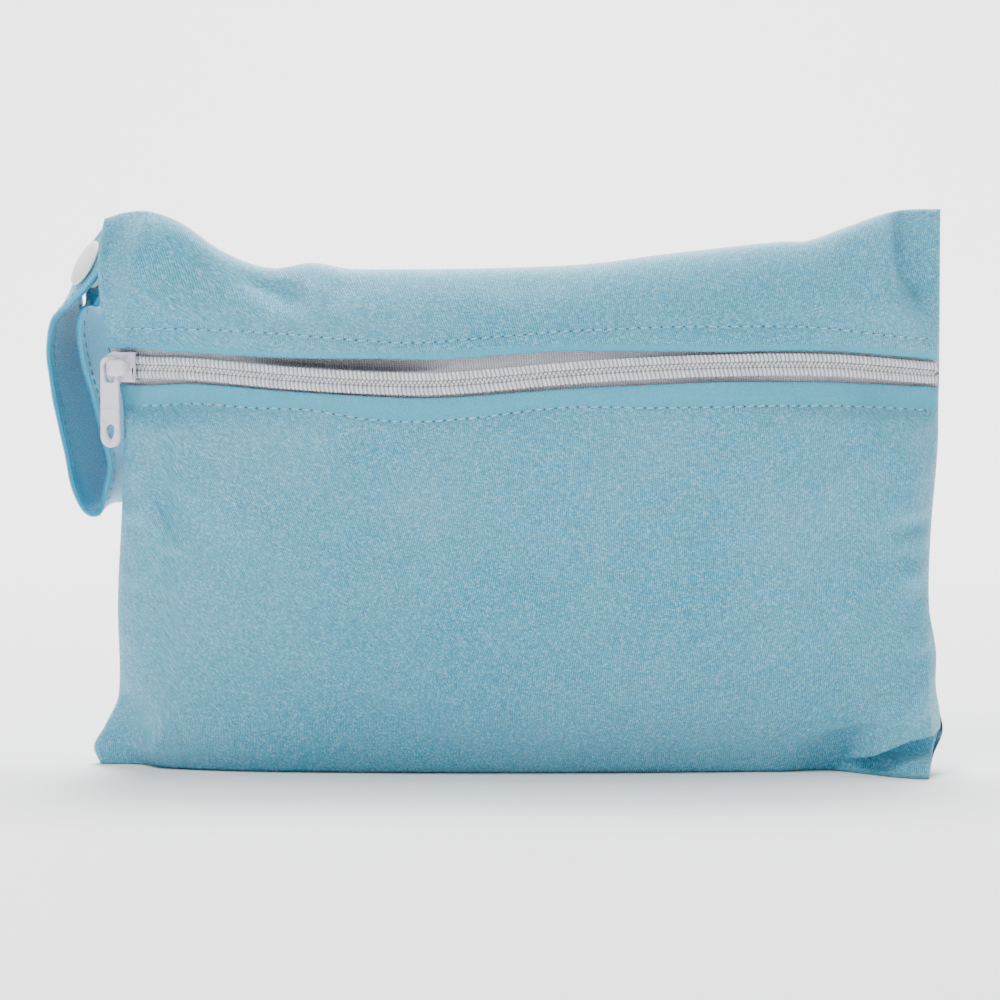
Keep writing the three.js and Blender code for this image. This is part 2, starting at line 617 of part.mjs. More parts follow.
// The frame on the strap: middle, direction along it, direction across it, and the outer side's normal.
function strapFrame(path, crosses, share) {
  const middle = path.getPoint(share);
  const along = path.getTangent(share);
  const across = crosses.getPoint(share);
  across.addScaledVector(along, -across.dot(along)).normalize();
  return { middle, along, across, outward: new THREE.Vector3().crossVectors(across, along) };
}

const curveThrough = (points) => new THREE.CatmullRomCurve3(points, false, "catmullrom", 0.5);
const rowShare = (rows, row) => row / (rows.length - 1);
const snapFrame = strapFrame(
  curveThrough(strapRows.map((row) => row.middle)),
  curveThrough(strapRows.map((row) => row.cross)),
  rowShare(strapRows, SNAP_ROW),
);

// The strap's free end lies under its sewn end, one snap stack further in. Shares of the strap's width along it.
const FREE_END = [0.42, 0, -0.4];
for (const along of FREE_END) {
  const middle = snapFrame.middle.clone();
  middle.addScaledVector(snapFrame.outward, -STRAP_THICKNESS - SNAP_STACK);
  middle.addScaledVector(snapFrame.along, along * STRAP_WIDTH);
  strapRows.push({ middle, cross: snapFrame.across.clone() });
}

function strap() {
  const path = curveThrough(strapRows.map((row) => row.middle));
  const crosses = curveThrough(strapRows.map((row) => row.cross));
  const steps = 3 * (strapRows.length - 1);
  const [w, t] = [STRAP_WIDTH / 2, STRAP_THICKNESS / 2];
  const corner = 0.6 * t;
  const outline = [
    [-w, -t + corner], [-w + corner, -t], [w - corner, -t], [w, -t + corner],
    [w, t - corner], [w - corner, t], [-w + corner, t], [-w, t - corner],
  ];
  const sections = [];
  for (let i = 0; i <= steps; i += 1) {
    const frame = strapFrame(path, crosses, i / steps);
    sections.push(
      outline.map(([a, b]) =>
        frame.middle.clone().addScaledVector(frame.across, a).addScaledVector(frame.outward, b),
      ),
    );
  }
  return solidThrough(sections);
}

// A turned piece whose foot stands on the snap's axis at a height over the strap's middle.
function onSnapAxis(profile, height) {
  const geometry = new THREE.LatheGeometry(profile.map(([r, h]) => new THREE.Vector2(r, h)), 24);
  const turned = new THREE.Quaternion().setFromUnitVectors(new THREE.Vector3(0, 1, 0), snapFrame.outward);
  geometry.applyQuaternion(turned);
  const foot = snapFrame.middle.clone().addScaledVector(snapFrame.outward, height);
  return geometry.translate(foot.x, foot.y, foot.z);
}

function capProfile() {
  const [r, h] = [SNAP_CAP_DIAMETER / 2, SNAP_CAP_HEIGHT];
  const profile = [[0, 0], [0.93 * r, 0]];
  for (let i = 0; i <= 6; i += 1) {
    const angle = (i / 6) * (Math.PI / 2);
    profile.push([r * Math.cos(angle) ** 0.8, h * (0.3 + 0.7 * Math.sin(angle))]);
  }
  profile[profile.length - 1][0] = 0;
  return profile;
}

const capFoot = STRAP_THICKNESS / 2 + GAP;
const snapCap = () => onSnapAxis(capProfile(), capFoot);
const snapBackCap = () => {
  const under = capProfile().map(([r, h]) => [r, -h]).reverse();
  return onSnapAxis(under, -STRAP_THICKNESS - SNAP_STACK - capFoot);
};
const snapCore = () => {
  const r = SNAP_CORE_DIAMETER / 2;
  const high = SNAP_STACK - 2 * GAP;
  const profile = [[0, 0], [0.9 * r, 0], [r, 0.2 * high], [r, 0.55 * high], [0.7 * r, high], [0, high]];
  return onSnapAxis(profile, -STRAP_THICKNESS / 2 - SNAP_STACK + GAP);
};

const cloth = () => new THREE.MeshStandardMaterial({ color: 0x8cbccb, roughness: 0.85, metalness: 0 });
const strapCloth = () => new THREE.MeshStandardMaterial({ color: 0x57aebf, roughness: 0.85, metalness: 0 });
const wovenWhite = () => new THREE.MeshStandardMaterial({ color: 0xe6e6ea, roughness: 0.8, metalness: 0 });
const nylon = () => new THREE.MeshStandardMaterial({ color: 0xf2f2f4, roughness: 0.4, metalness: 0 });
const enamel = () => new THREE.MeshStandardMaterial({ color: 0xdfdce6, roughness: 0.35, metalness: 0 });
const plastic = () => new THREE.MeshStandardMaterial({ color: 0xf0eff1, roughness: 0.2, metalness: 0 });

function named(name, geometry, material) {
  const mesh = new THREE.Mesh(geometry, material);
  mesh.name = name;
  return mesh;
}

const bag = new THREE.Group();
bag.add(
  named("front_lower_panel", clothPanel("front", (a) => -baseSeamTurn(a), lowerEdgeTurn, 17, 1.2), cloth()),
  named("front_upper_panel", clothPanel("front", upperEdgeTurn, () => 1, 9, 1), cloth()),
  named("back_panel", clothPanel("back", baseSeamTurn, () => 1, 20, 1.1), cloth()),
  named("zipper_tape_lower", tape("below"), wovenWhite()),
  named("zipper_tape_upper", tape("above"), wovenWhite()),
  named("zipper_coil_lower", coil("below"), nylon()),
  named("zipper_coil_upper", coil("above"), nylon()),
);

const zipHardware = new THREE.Group();
zipHardware.applyMatrix4(sliderFrame);
zipHardware.add(named("slider", sliderBody(), enamel()), named("pull_tab", pullTab(), enamel()));
bag.add(zipHardware);

bag.add(
  named("strap", strap(), strapCloth()),
  named("snap_cap", snapCap(), plastic()),
  named("snap_core", snapCore(), plastic()),
  named("snap_back_cap", snapBackCap(), plastic()),
);

export default bag;
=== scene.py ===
import math

import bmesh
import bpy
import numpy as np
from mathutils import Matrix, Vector


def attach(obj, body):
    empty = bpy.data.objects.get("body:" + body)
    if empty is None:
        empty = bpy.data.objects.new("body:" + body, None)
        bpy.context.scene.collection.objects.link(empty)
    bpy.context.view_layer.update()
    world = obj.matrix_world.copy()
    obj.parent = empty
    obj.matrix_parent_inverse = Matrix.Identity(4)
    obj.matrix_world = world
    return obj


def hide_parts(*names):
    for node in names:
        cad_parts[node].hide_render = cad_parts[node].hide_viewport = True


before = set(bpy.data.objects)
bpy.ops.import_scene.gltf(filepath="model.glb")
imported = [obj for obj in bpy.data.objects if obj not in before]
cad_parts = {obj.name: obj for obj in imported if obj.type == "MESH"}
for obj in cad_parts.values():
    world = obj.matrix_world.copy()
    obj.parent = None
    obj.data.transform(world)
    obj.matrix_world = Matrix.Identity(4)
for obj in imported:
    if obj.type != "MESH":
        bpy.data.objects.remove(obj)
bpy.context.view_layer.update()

MM = 0.001

# The bag's own shape, in millimetres, as in the solids that it replaces.
BAG_WIDTH, BAG_HEIGHT, BAG_DEPTH = 205.0, 140.0, 48.0
CLOTH, GAP, SEAM_GAP = 1.2, 0.3, 0.4
BASE_SINK, BASE_SEAM_BACK = 2.5, 8.0
ZIP_SLOT, TAPE, TAPE_TUCK = 7.0, 0.9, 3.0
COIL_WIDTH, COIL_HEIGHT, ZIP_END_INSET = 2.6, 1.8, 0.8
SLIDER_LENGTH, SLIDER_WIDTH, SLIDER_PLATE, SLIDER_INSET = 7.8, 7.8, 1.1, 3.2
CROWN_LENGTH, CROWN_WIDTH, CROWN_THICKNESS = 5.8, 4.2, 1.0
CROWN_LEG_WIDTH, CROWN_LEG_LENGTH = 1.6, 1.1
PULL_LENGTH, PULL_WIDTH, PULL_THICKNESS = 22.5, 5.4, 1.3
PULL_EYE_WIDTH, PULL_EYE_LENGTH, PULL_CLEARANCE, PULL_BAR = 3.2, 5.0, 0.35, 1.3
STRAP_WIDTH, STRAP_THICKNESS, STRAP_REACH, STRAP_DROP = 17.0, 1.9, 14.0, 62.0
SNAP_HEIGHT, STRAP_BEHIND, SNAP_CAP_DIAMETER, SNAP_CAP_HEIGHT = 125.3, 9.6, 12.4, 1.6
SNAP_CORE_DIAMETER, SNAP_STACK, SNAP_ROW = 9.2, 2.6, 1
SIDE_ROUNDING, ZIP_END_ROUNDING, ZIP_STIFF_BAND = 0.42, 0.8, 0.08
EDGE_ROUNDING, LEAN_REACH, WALL_TURN = 0.6, 0.1, 0.2
HALF_DEPTH = BAG_DEPTH / 2
LEFT_EDGE = -BAG_WIDTH / 2
TAPE_DEPTH = CLOTH + GAP

# up, out, back
LEFT_SEAM = np.array([
    (0.0, 0.028, 0.2), (0.03, 0.035, 0.2), (0.07, 0.02, 0.14), (0.13, 0.002, 0.06), (0.3, 0.001, 0.0),
    (0.5, -0.006, 0.0), (0.65, -0.007, 0.0), (0.715, 0.004, 0.0), (0.745, 0.009, 0.0), (0.79, 0.014, -0.1),
    (0.87, 0.017, -0.36), (0.94, 0.014, -0.4), (1.0, 0.006, -0.3),
])
RIGHT_SEAM = np.array([
    (0.0, -0.018, -0.8), (0.04, -0.012, -0.62), (0.09, 0.0, -0.3), (0.15, -0.003, -0.1), (0.21, -0.001, 0.0),
    (0.29, -0.01, 0.0), (0.42, -0.009, 0.0), (0.6, -0.001, 0.0), (1.0, 0.0, 0.05),
])
# across, up
TOP_FOLD = np.array([
    (0.0, 0.98), (0.02, 0.99), (0.05, 0.993), (0.09, 0.972), (0.145, 0.92), (0.2, 0.892), (0.25, 0.901),
    (0.3, 0.89), (0.56, 0.897), (0.68, 0.918), (0.81, 0.939), (0.84, 0.94), (0.89, 0.966), (0.945, 0.993),
    (1.0, 0.997),
])
# across, up, above, below
ZIP_LINE = np.array([
    (0.0, 0.717, 0.62, 0.62), (0.04, 0.717, 0.61, 0.61), (0.1, 0.716, 0.55, 0.5), (0.22, 0.702, 0.7, 0.46),
    (0.32, 0.695, 0.84, 0.46), (0.4, 0.695, 0.84, 0.46), (0.54, 0.712, 0.78, 0.52), (0.6, 0.718, 0.66, 0.54),
    (0.72, 0.725, 0.48, 0.57), (0.86, 0.724, 0.47, 0.57), (1.0, 0.705, 0.47, 0.47),
])
# side, end, front wide, back wide, high, soft
EARS = [
    ("left", "top", 0.035, 0.085, 0.19, 0.45),
    ("right", "top", 0.055, 0.05, 0.2, 0.3),
    ("left", "bottom", 0.06, 0.05, 0.12, 0.4),
    ("right", "bottom", 0.13, 0.1, 0.08, 0.4),
]
# face, from, to, wide, rise: the solids' folds, then the finer ones
FOLDS = [
    ("front", (0.03, 0.99), (0.15, 0.93), 0.035, 0.07),
    ("front", (0.14, 0.93), (0.23, 0.86), 0.03, -0.09),
    ("front", (0.02, 0.6), (0.2, 0.42), 0.04, 0.07),
    ("front", (0.05, 0.5), (0.16, 0.36), 0.035, -0.05),
    ("front", (0.94, 0.59), (0.79, 0.44), 0.035, 0.07),
    ("front", (0.88, 0.62), (0.8, 0.51), 0.03, -0.06),
    ("front", (0.99, 0.49), (0.93, 0.47), 0.025, 0.07),
    ("front", (1.0, 0.4), (0.93, 0.37), 0.025, -0.06),
    ("front", (0.02, 0.22), (0.07, 0.05), 0.035, 0.07),
    ("front", (0.99, 0.15), (0.94, 0.12), 0.03, -0.1),
    ("back", (0.04, 0.86), (0.22, 0.66), 0.04, -0.07),
    ("back", (0.96, 0.84), (0.8, 0.62), 0.04, -0.07),
    ("back", (0.05, 0.14), (0.2, 0.3), 0.04, 0.06),
    ("back", (0.94, 0.2), (0.8, 0.34), 0.04, -0.06),
]
FINE_FOLDS = [
    ("front", (0.18, 0.885), (0.24, 0.835), 0.016, -0.085),
    ("front", (0.951, 0.985), (0.95, 0.905), 0.008, -0.075),
    ("front", (0.952, 0.905), (0.985, 0.825), 0.008, -0.07),
    ("front", (0.938, 0.97), (0.94, 0.89), 0.012, 0.035),
    ("front", (0.0, 0.93), (0.008, 0.83), 0.014, -0.06),
    ("front", (0.028, 0.94), (0.026, 0.84), 0.01, 0.03),
    ("front", (0.29, 0.875), (0.285, 0.83), 0.012, -0.02),
    ("front", (0.255, 0.88), (0.262, 0.83), 0.01, 0.016),
    ("front", (0.93, 0.92), (0.86, 0.84), 0.014, 0.02),
    ("front", (0.93, 0.86), (0.87, 0.79), 0.012, -0.02),
    ("front", (0.012, 0.55), (0.045, 0.44), 0.017, 0.055),
    ("front", (0.053, 0.52), (0.065, 0.44), 0.01, -0.025),
    ("front", (0.05, 0.56), (0.17, 0.4), 0.02, 0.025),
    ("front", (0.03, 0.47), (0.13, 0.33), 0.014, 0.016),
    ("front", (0.0, 0.52), (0.02, 0.47), 0.01, -0.04),
    ("front", (0.995, 0.445), (0.95, 0.43), 0.012, -0.04),
    ("front", (0.995, 0.36), (0.955, 0.35), 0.012, 0.035),
    ("front", (0.995, 0.3), (0.95, 0.29), 0.012, -0.035),
    ("front", (0.995, 0.235), (0.95, 0.235), 0.012, 0.035),
    ("front", (0.985, 0.19), (0.955, 0.13), 0.016, -0.05),
    ("front", (0.93, 0.6), (0.83, 0.49), 0.012, 0.016),
    ("front", (0.04, 0.14), (0.075, 0.03), 0.012, 0.025),
    ("front", (0.86, 0.05), (0.93, 0.09), 0.012, -0.04),
    ("back", (0.3, 0.84), (0.34, 0.6), 0.03, 0.012),
    ("back", (0.7, 0.8), (0.62, 0.62), 0.03, 0.012),
    ("back", (0.03, 0.5), (0.12, 0.47), 0.015, 0.03),
    ("back", (0.97, 0.42), (0.9, 0.4), 0.015, -0.03),
    ("back", (0.04, 0.32), (0.14, 0.3), 0.015, -0.025),
]
# across, distance of the stitch row from the panel's zip edge
UPPER_STITCH = np.array([
    (0.0, 5.0), (0.06, 5.8), (0.16, 6.2), (0.23, 5.8), (0.28, 4.9), (0.35, 4.0), (0.44, 4.4), (0.54, 4.6),
    (0.68, 6.0), (0.82, 6.0), (0.93, 5.1), (1.0, 5.2),
])
LOWER_STITCH = np.array([
    (0.0, 5.2), (0.09, 5.0), (0.16, 5.0), (0.23, 4.3), (0.3, 5.6), (0.355, 6.0), (0.44, 5.3), (0.54, 4.5),
    (0.65, 5.8), (0.82, 6.0), (0.95, 5.8), (1.0, 6.0),
])
# The stitches' pitch, and how far above the zip edge the upper hem's satin band goes
STITCH_PITCH, SATIN_ABOVE = 2.75, 1.9
# The hem's rolled edge, and how far the turned cloth goes back behind it
HEM_ROLL, HEM_BACK = 0.62, (0.8, 2.0, 4.0)
# The distance from a hem that a panel without one is given
NO_HEM = 30.0
# The lower right bulge's overhanging edge, x and z, and how far it comes forward and droops
OVERHANG = np.array([
    (70.0, -2.0), (77.0, 1.8), (83.0, 4.6), (88.5, 7.2), (94.0, 9.6), (99.0, 10.8), (104.0, 11.0),
])
OVERHANG_REACH, OVERHANG_DROOP = 7.5, 1.4
# The back's small flap behind the lower right corner: how far out, how high up, and half its height
FLAP_OUT, FLAP_UP, FLAP_HALF = 1.3, 9.5, 3.6
BAG_MIDDLE = (0, 0, 62.0)
# out, down, back, turn, tip
STRAP_PATH = [
    (-0.1, -0.09, 0.0, -8, 26), (0.2, 0.0, 0.12, -10, 24), (0.49, 0.09, 0.25, -3, 20),
    (0.66, 0.19, 0.39, 19, 12), (0.69, 0.345, 0.54, 29, 4), (0.57, 0.54, 0.61, 31, 2),
    (0.38, 0.75, 0.64, 32, 3), (0.24, 0.9, 0.64, 30, 8), (0.06, 0.965, 0.63, 26, 12),
    (-0.2, 0.91, 0.62, 24, 6), (-0.3, 0.79, 0.62, 22, 2), (-0.1, 0.58, 0.59, 22, 2),
    (0.09, 0.39, 0.5, 23, 3), (0.2, 0.23, 0.37, 20, 9),
]
STRAP_END_LAYS = (0.42, 0.0, -0.4)
STRAP_STITCH_IN, STRAP_STITCH_PITCH, STRAP_STEPS = 2.1, 2.5, 300


def follow(rows, column, at):
    """The curve through a table's rows, at places given in its first column."""
    key, value = rows[:, 0], rows[:, column]
    last = len(key) - 1
    x = np.clip(at, key[0], key[-1])
    i = np.clip(np.searchsorted(key, x, side="left") - 1, 0, last - 1)
    low, high = np.maximum(np.arange(last + 1) - 1, 0), np.minimum(np.arange(last + 1) + 1, last)
    slope = (value[high] - value[low]) / (key[high] - key[low])
    span = key[i + 1] - key[i]
    t = (x - key[i]) / span
    rise = value[i + 1] - value[i]
    start, end = slope[i] * span - rise, rise - slope[i + 1] * span
    return value[i] + rise * t + t * (1 - t) * (start * (1 - t) + end * t)


def smooth(low, high, value):
    t = np.clip((value - low) / (high - low), 0, 1)
    return t * t * (3 - 2 * t)


def soft_noise(u, v, seed):
    """Smooth noise from -1 to 1 on a plane, with one bump a unit."""
    random = np.random.RandomState(seed)
    table = random.uniform(-1, 1, (64, 64))
    i, j = np.floor(u).astype(int), np.floor(v).astype(int)
    a, b = u - i, v - j
    a, b = a * a * (3 - 2 * a), b * b * (3 - 2 * b)
    at = lambda m, n: table[(i + m) % 64, (j + n) % 64]
    return (at(0, 0) * (1 - a) + at(1, 0) * a) * (1 - b) + (at(0, 1) * (1 - a) + at(1, 1) * a) * b


def top_of(a):
    return BAG_HEIGHT * follow(TOP_FOLD, 1, a)


def zip_height(a):
    return BAG_HEIGHT * follow(ZIP_LINE, 1, a)


def zip_edge(a, side):
    return ZIP_SLOT * follow(ZIP_LINE, 2 if side == "above" else 3, a)


def left_x(up):
    return LEFT_EDGE - BAG_WIDTH * follow(LEFT_SEAM, 1, up)


def right_x(up):
    return BAG_WIDTH / 2 + BAG_WIDTH * follow(RIGHT_SEAM, 1, up)


def lean(a, up):
    left = follow(LEFT_SEAM, 2, up) * np.exp(-((a / LEAN_REACH) ** 2))
    right = follow(RIGHT_SEAM, 2, up) * np.exp(-(((1 - a) / LEAN_REACH) ** 2))
    return HALF_DEPTH * (left + right)


def ear_swelling(a, up, face):
    swelling = np.ones_like(a)
    for side, end, front_wide, back_wide, high, soft in EARS:
        wide = front_wide if face == "front" else back_wide
        sideways = a if side == "left" else 1 - a
        endwise = up if end == "bottom" else 1 - up
        distance = np.hypot(sideways / wide, endwise / high)
        swelling = swelling * smooth(1 - soft, 1 + soft, distance)
    return swelling


def fold_rise(a, up, face, folds):
    flat = BAG_HEIGHT / BAG_WIDTH
    rise = np.zeros_like(a)
    for where, start, end, wide, high in folds:
        if where != face:
            continue
        run = np.array([end[0] - start[0], (end[1] - start[1]) * flat])
        x, y = a - start[0], (up - start[1]) * flat
        length = np.hypot(*run)
        along = (x * run[0] + y * run[1]) / length**2
        aside = (x * run[1] - y * run[0]) / length / wide
        rise = rise + high * np.exp(-(aside**2) - ((along - 0.5) / 0.6) ** 4)
    return HALF_DEPTH * rise


def swell_of(a):
    return np.clip(4 * a * (1 - a), 0, 1)


def foot_share(a, face):
    """How much of the full depth the bag has along its foot."""
    return swell_of(a) ** SIDE_ROUNDING * ear_swelling(a, np.zeros_like(a), face)


def sag(a, face):
    return BASE_SINK * foot_share(a, face)


def cloth_at(face, a, t, round_edges=True):
    """Places on the outside of the cloth, how far each is off a seam's square wall, and the rim there."""
    forward = -1.0 if face == "front" else 1.0
    top, sunk = top_of(a), sag(a, face)
    z = np.maximum((top + sunk) * (1 - np.cos(np.pi * t)) / 2 - sunk, 0)
    up = z / BAG_HEIGHT
    zip_near = 0 * a
    if face == "front":
        zip_near = np.exp(-(((z - zip_height(a)) / BAG_HEIGHT / ZIP_STIFF_BAND) ** 4))
    rounding = SIDE_ROUNDING + (ZIP_END_ROUNDING - SIDE_ROUNDING) * zip_near
    sides = swell_of(a) ** rounding * ear_swelling(a, up, face)
    arc = np.abs(np.sin(np.pi * np.abs(t))) ** EDGE_ROUNDING
    near_base = 1 - smooth(0.08, 0.25, np.abs(t))
    on_side = smooth(0, WALL_TURN, sides * np.maximum(arc, near_base))
    step = 0.004
    steepness = ((lean(a, up + step) - lean(a, up - step)) / (2 * step * BAG_HEIGHT)) ** 2
    rim = CLOTH * np.sqrt(1 + steepness)
    bulge = HALF_DEPTH * sides * arc * np.sign(t) + fold_rise(a, up, face, FOLDS) * sides * arc
    if round_edges:
        to_side = np.minimum(a, 1 - a) * BAG_WIDTH
        to_top = np.hypot(HALF_DEPTH * sides * arc, top - z)
        near = np.clip(np.minimum(to_side, to_top) / 1.5, 0, 1)
        stand = 0.02 + (rim + SEAM_GAP / 2) * (1 - on_side) * np.sqrt(1 - (1 - near) ** 2) + 0.18 * on_side
    else:
        stand = SEAM_GAP / 2 + rim * (1 - on_side)
    y = lean(a, up) + forward * (bulge + stand)
    x = left_x(up) * (1 - a) + right_x(up) * a
    return np.stack([x, y, z], -1), on_side, rim, forward


def unit(v):
    return v / np.maximum(np.linalg.norm(v, axis=-1, keepdims=True), 1e-9)


def inward(face, a, t):
    step = 0.003
    at = lambda b, s: cloth_at(face, np.clip(b, 0, 1), np.minimum(s, 1), False)[0]
    normal = unit(np.cross(at(a + step, t) - at(a - step, t), at(a, t + step) - at(a, t - step)))
    _, on_side, rim, forward = cloth_at(face, a, t, False)
    normal = np.where((normal[..., 1:2] * forward > 0), -normal, normal)
    straight = np.stack([0 * a, -forward * rim / CLOTH, 0 * a], -1)
    w = on_side[..., None]
    return straight * (1 - w) + normal * w


def turn_at(a, z):
    height = top_of(a) + sag(a, "front")
    share = np.clip((z + height - top_of(a)) / height, 0, 1)
    return np.arccos(1 - 2 * share) / np.pi


def base_seam_turn(a):
    middle = math.asin((BASE_SEAM_BACK / HALF_DEPTH) ** (1 / EDGE_ROUNDING)) / math.pi
    return middle * foot_share(a, "front")


def zip_point(a, rise, depth):
    t = turn_at(a, zip_height(a) + rise)
    return cloth_at("front", a, t, False)[0] + inward("front", a, t) * np.asarray(depth)[..., None]


# Meshes


def mesh_object(name, points, faces, uv=None, shade_smooth=True, zone=None):
    """A mesh from points in millimetres and a list of faces."""
    mesh = bpy.data.meshes.new(name)
    mesh.from_pydata((np.asarray(points, float) * MM).tolist(), [], [list(map(int, f)) for f in faces])
    mesh.update()
    index = np.zeros(len(mesh.loops), np.int32)
    mesh.loops.foreach_get("vertex_index", index)
    maps = {"cloth_mm": uv, "zone": None if zone is None else np.stack([zone, zone], -1)}
    for map_name, values in maps.items():
        if values is not None:
            layer = mesh.uv_layers.new(name=map_name)
            layer.data.foreach_set("uv", np.asarray(values, np.float32)[index].ravel())
    if shade_smooth:
        mesh.polygons.foreach_set("use_smooth", [True] * len(mesh.polygons))
    made = bpy.data.objects.new(name, mesh)
    bpy.context.scene.collection.objects.link(made)
    return made


def grid_faces(rows, columns, start=0, wrap=False):
    r, c = np.meshgrid(np.arange(rows - 1), np.arange(columns if wrap else columns - 1), indexing="ij")
    n = (c + 1) % columns
    a, b = r * columns + c, r * columns + n
    return (np.stack([a, b, b + columns, a + columns], -1).reshape(-1, 4) + start).tolist()


def closed_faces(rings, sides):
    """Faces of a row of rings, with its two ends closed."""
    last = (rings - 1) * sides
    return grid_faces(rings, sides, wrap=True) + [list(range(sides))[::-1], [last + k for k in range(sides)]]


def outward(made, away_from):
    """Turns an open sheet's faces so that most look away from a point, in millimetres."""
    mesh = made.data
    total = 0.0
    for p in mesh.polygons:
        total += p.area * (p.center - Vector(away_from) * MM).dot(p.normal)
    if total < 0:
        mesh.flip_normals()
    return made


def fix_normals(made):
    """Turns a closed mesh's faces to look outwards."""
    work = bmesh.new()
    work.from_mesh(made.data)
    bmesh.ops.recalc_face_normals(work, faces=work.faces)
    work.to_mesh(made.data)
    work.free()
    return made


class Parts:
    """Collects points and faces of many small solids for one mesh."""

    def __init__(self):
        self.points, self.faces, self.zones, self.count = [], [], [], 0

    def add(self, points, faces, zone=1.0):
        self.points.append(np.asarray(points, float).reshape(-1, 3))
        self.zones.append(np.broadcast_to(zone, len(self.points[-1])))
        self.faces += [[i + self.count for i in f] for f in faces]
        self.count += len(self.points[-1])

    def object(self, name):
        return mesh_object(name, np.concatenate(self.points), self.faces, zone=np.concatenate(self.zones))


def tube(parts, path, side, radius, sides=6, zone=1.0):
    """A tube along a path, with a side direction for each point."""
    along = unit(np.gradient(path, axis=0))
    first = unit(side - along * (side * along).sum(-1, keepdims=True))
    second = np.cross(along, first)
    angle = 2 * np.pi * np.arange(sides) / sides
    ring = (
        path[:, None]
        + first[:, None] * (np.cos(angle) * radius)[None, :, None]
        + second[:, None] * (np.sin(angle) * radius)[None, :, None]
    )
    parts.add(ring, closed_faces(len(path), sides), zone)


def bead(parts, centre, axes, rings=5, sides=8):
    """A small ellipsoid with its three half axes."""
    points, faces = [], []
    for i in range(rings + 1):
        polar = np.pi * i / rings
        for k in range(sides):
            around = 2 * np.pi * k / sides
            points.append(
                centre + axes[0] * math.cos(polar)
                + axes[1] * (math.sin(polar) * math.cos(around))
                + axes[2] * (math.sin(polar) * math.sin(around))
            )
    parts.add(points, grid_faces(rings + 1, sides, wrap=True))


def lengths_of(line):
    """How far along a line each of its points is."""
    return np.concatenate([[0], np.cumsum(np.linalg.norm(np.diff(line, axis=0), axis=1))])


def share_columns(count, low=0.0, high=1.0):
    even = np.arange(count + 1) / count
    return low + (high - low) * (0.25 * even + 0.75 * (1 - np.cos(np.pi * even)) / 2)


# Cloth


def knit_map(points, face):
    """Places in the knit, in millimetres: across the wales and along them."""
    x, z = points[..., 0], points[..., 2]
    step = np.linalg.norm(np.diff(points, axis=0), axis=-1)
    along = np.concatenate([np.zeros((1, points.shape[1])), np.cumsum(step, 0)])
    step = np.linalg.norm(np.diff(points, axis=1), axis=-1)
    across = np.concatenate([np.zeros((len(points), 1)), np.cumsum(step, 1)], 1)
    across = across - across[:, points.shape[1] // 2][:, None]
    slant = 0.12 + 0.45 * (1 - smooth(-110, 30, x))
    if face == "back":
        slant = 0.1 + 0 * x
    return np.stack([across + slant * (z - 75), along], -1)


def creases(a, p, face, distance):
    """How far the finer folds, the soft unevenness and the side seams' puckers raise the cloth."""
    x, z = p[..., 0], p[..., 2]
    up = z / BAG_HEIGHT
    full = smooth(0.5, 6, distance)
    rise = fold_rise(a, up, face, FINE_FOLDS) * smooth(0.2, 4, distance)
    rise += 0.4 * full * soft_noise(x / 23 + 7, z / 31 + 3, 5 if face == "front" else 9)
    rise += 0.13 * full * soft_noise((x + 0.6 * z) / 7 + 40, z / 13 + 9, 11)
    pucker = np.sin(2 * np.pi * (z / 9.5 + 0.6 * soft_noise(a * 0 + 3.3, z / 17, 21)))
    return rise + 0.42 * pucker * np.exp(-distance / 7) * smooth(0.6, 3, distance) * smooth(0.02, 0.1, up)


def stitched(x, off, at, distance):
    """How far the hem's swelling, the groove of its stitches and the bulges between them raise the cloth."""
    wave = np.cos(2 * np.pi * x / STITCH_PITCH)
    off_seam = smooth(0.5, 3.5, distance)
    groove = 0.5 * (0.72 + 0.28 * wave) * np.exp(-(((off - at) / 0.75) ** 2)) * off_seam
    swelling = 0.22 * np.sin(np.pi * np.clip(off / at, 0, 1)) * smooth(0, 1.5, distance)
    return swelling - groove + 0.16 * np.exp(-(((off - at - 1.8) / 1.2) ** 2)) * wave * off_seam


def overhang(p):
    """The lower right bulge, brought forward over the corner."""
    x, z = p[..., 0], p[..., 2]
    above = z - np.interp(x, OVERHANG[:, 0], OVERHANG[:, 1])
    reach = smooth(77, 86, x) * (1 - 0.7 * smooth(99, 102.4, x))
    push = reach * smooth(-0.5, 0.8, above) * np.exp(-((np.maximum(above, 0) / 13) ** 2))
    droop = OVERHANG_DROOP * push * np.exp(-((above / 2.2) ** 2)) * smooth(0.3, 2, z)
    return p - np.stack([0 * x, OVERHANG_REACH * push, droop], -1)


def hem(p, normal):
    """The rows of a zip edge's hem, where the cloth rolls over and goes a short way back."""
    tip = unit(p[-1] - p[-2])
    turns = np.linspace(0, math.pi, 9)[1:]
    rolled = [p[-1] + HEM_ROLL * (tip * math.sin(f) - normal[-1] * (1 - math.cos(f))) for f in turns]
    return np.array(rolled + [p[-1] - normal[-1] * (2 * HEM_ROLL) - tip * back for back in HEM_BACK])


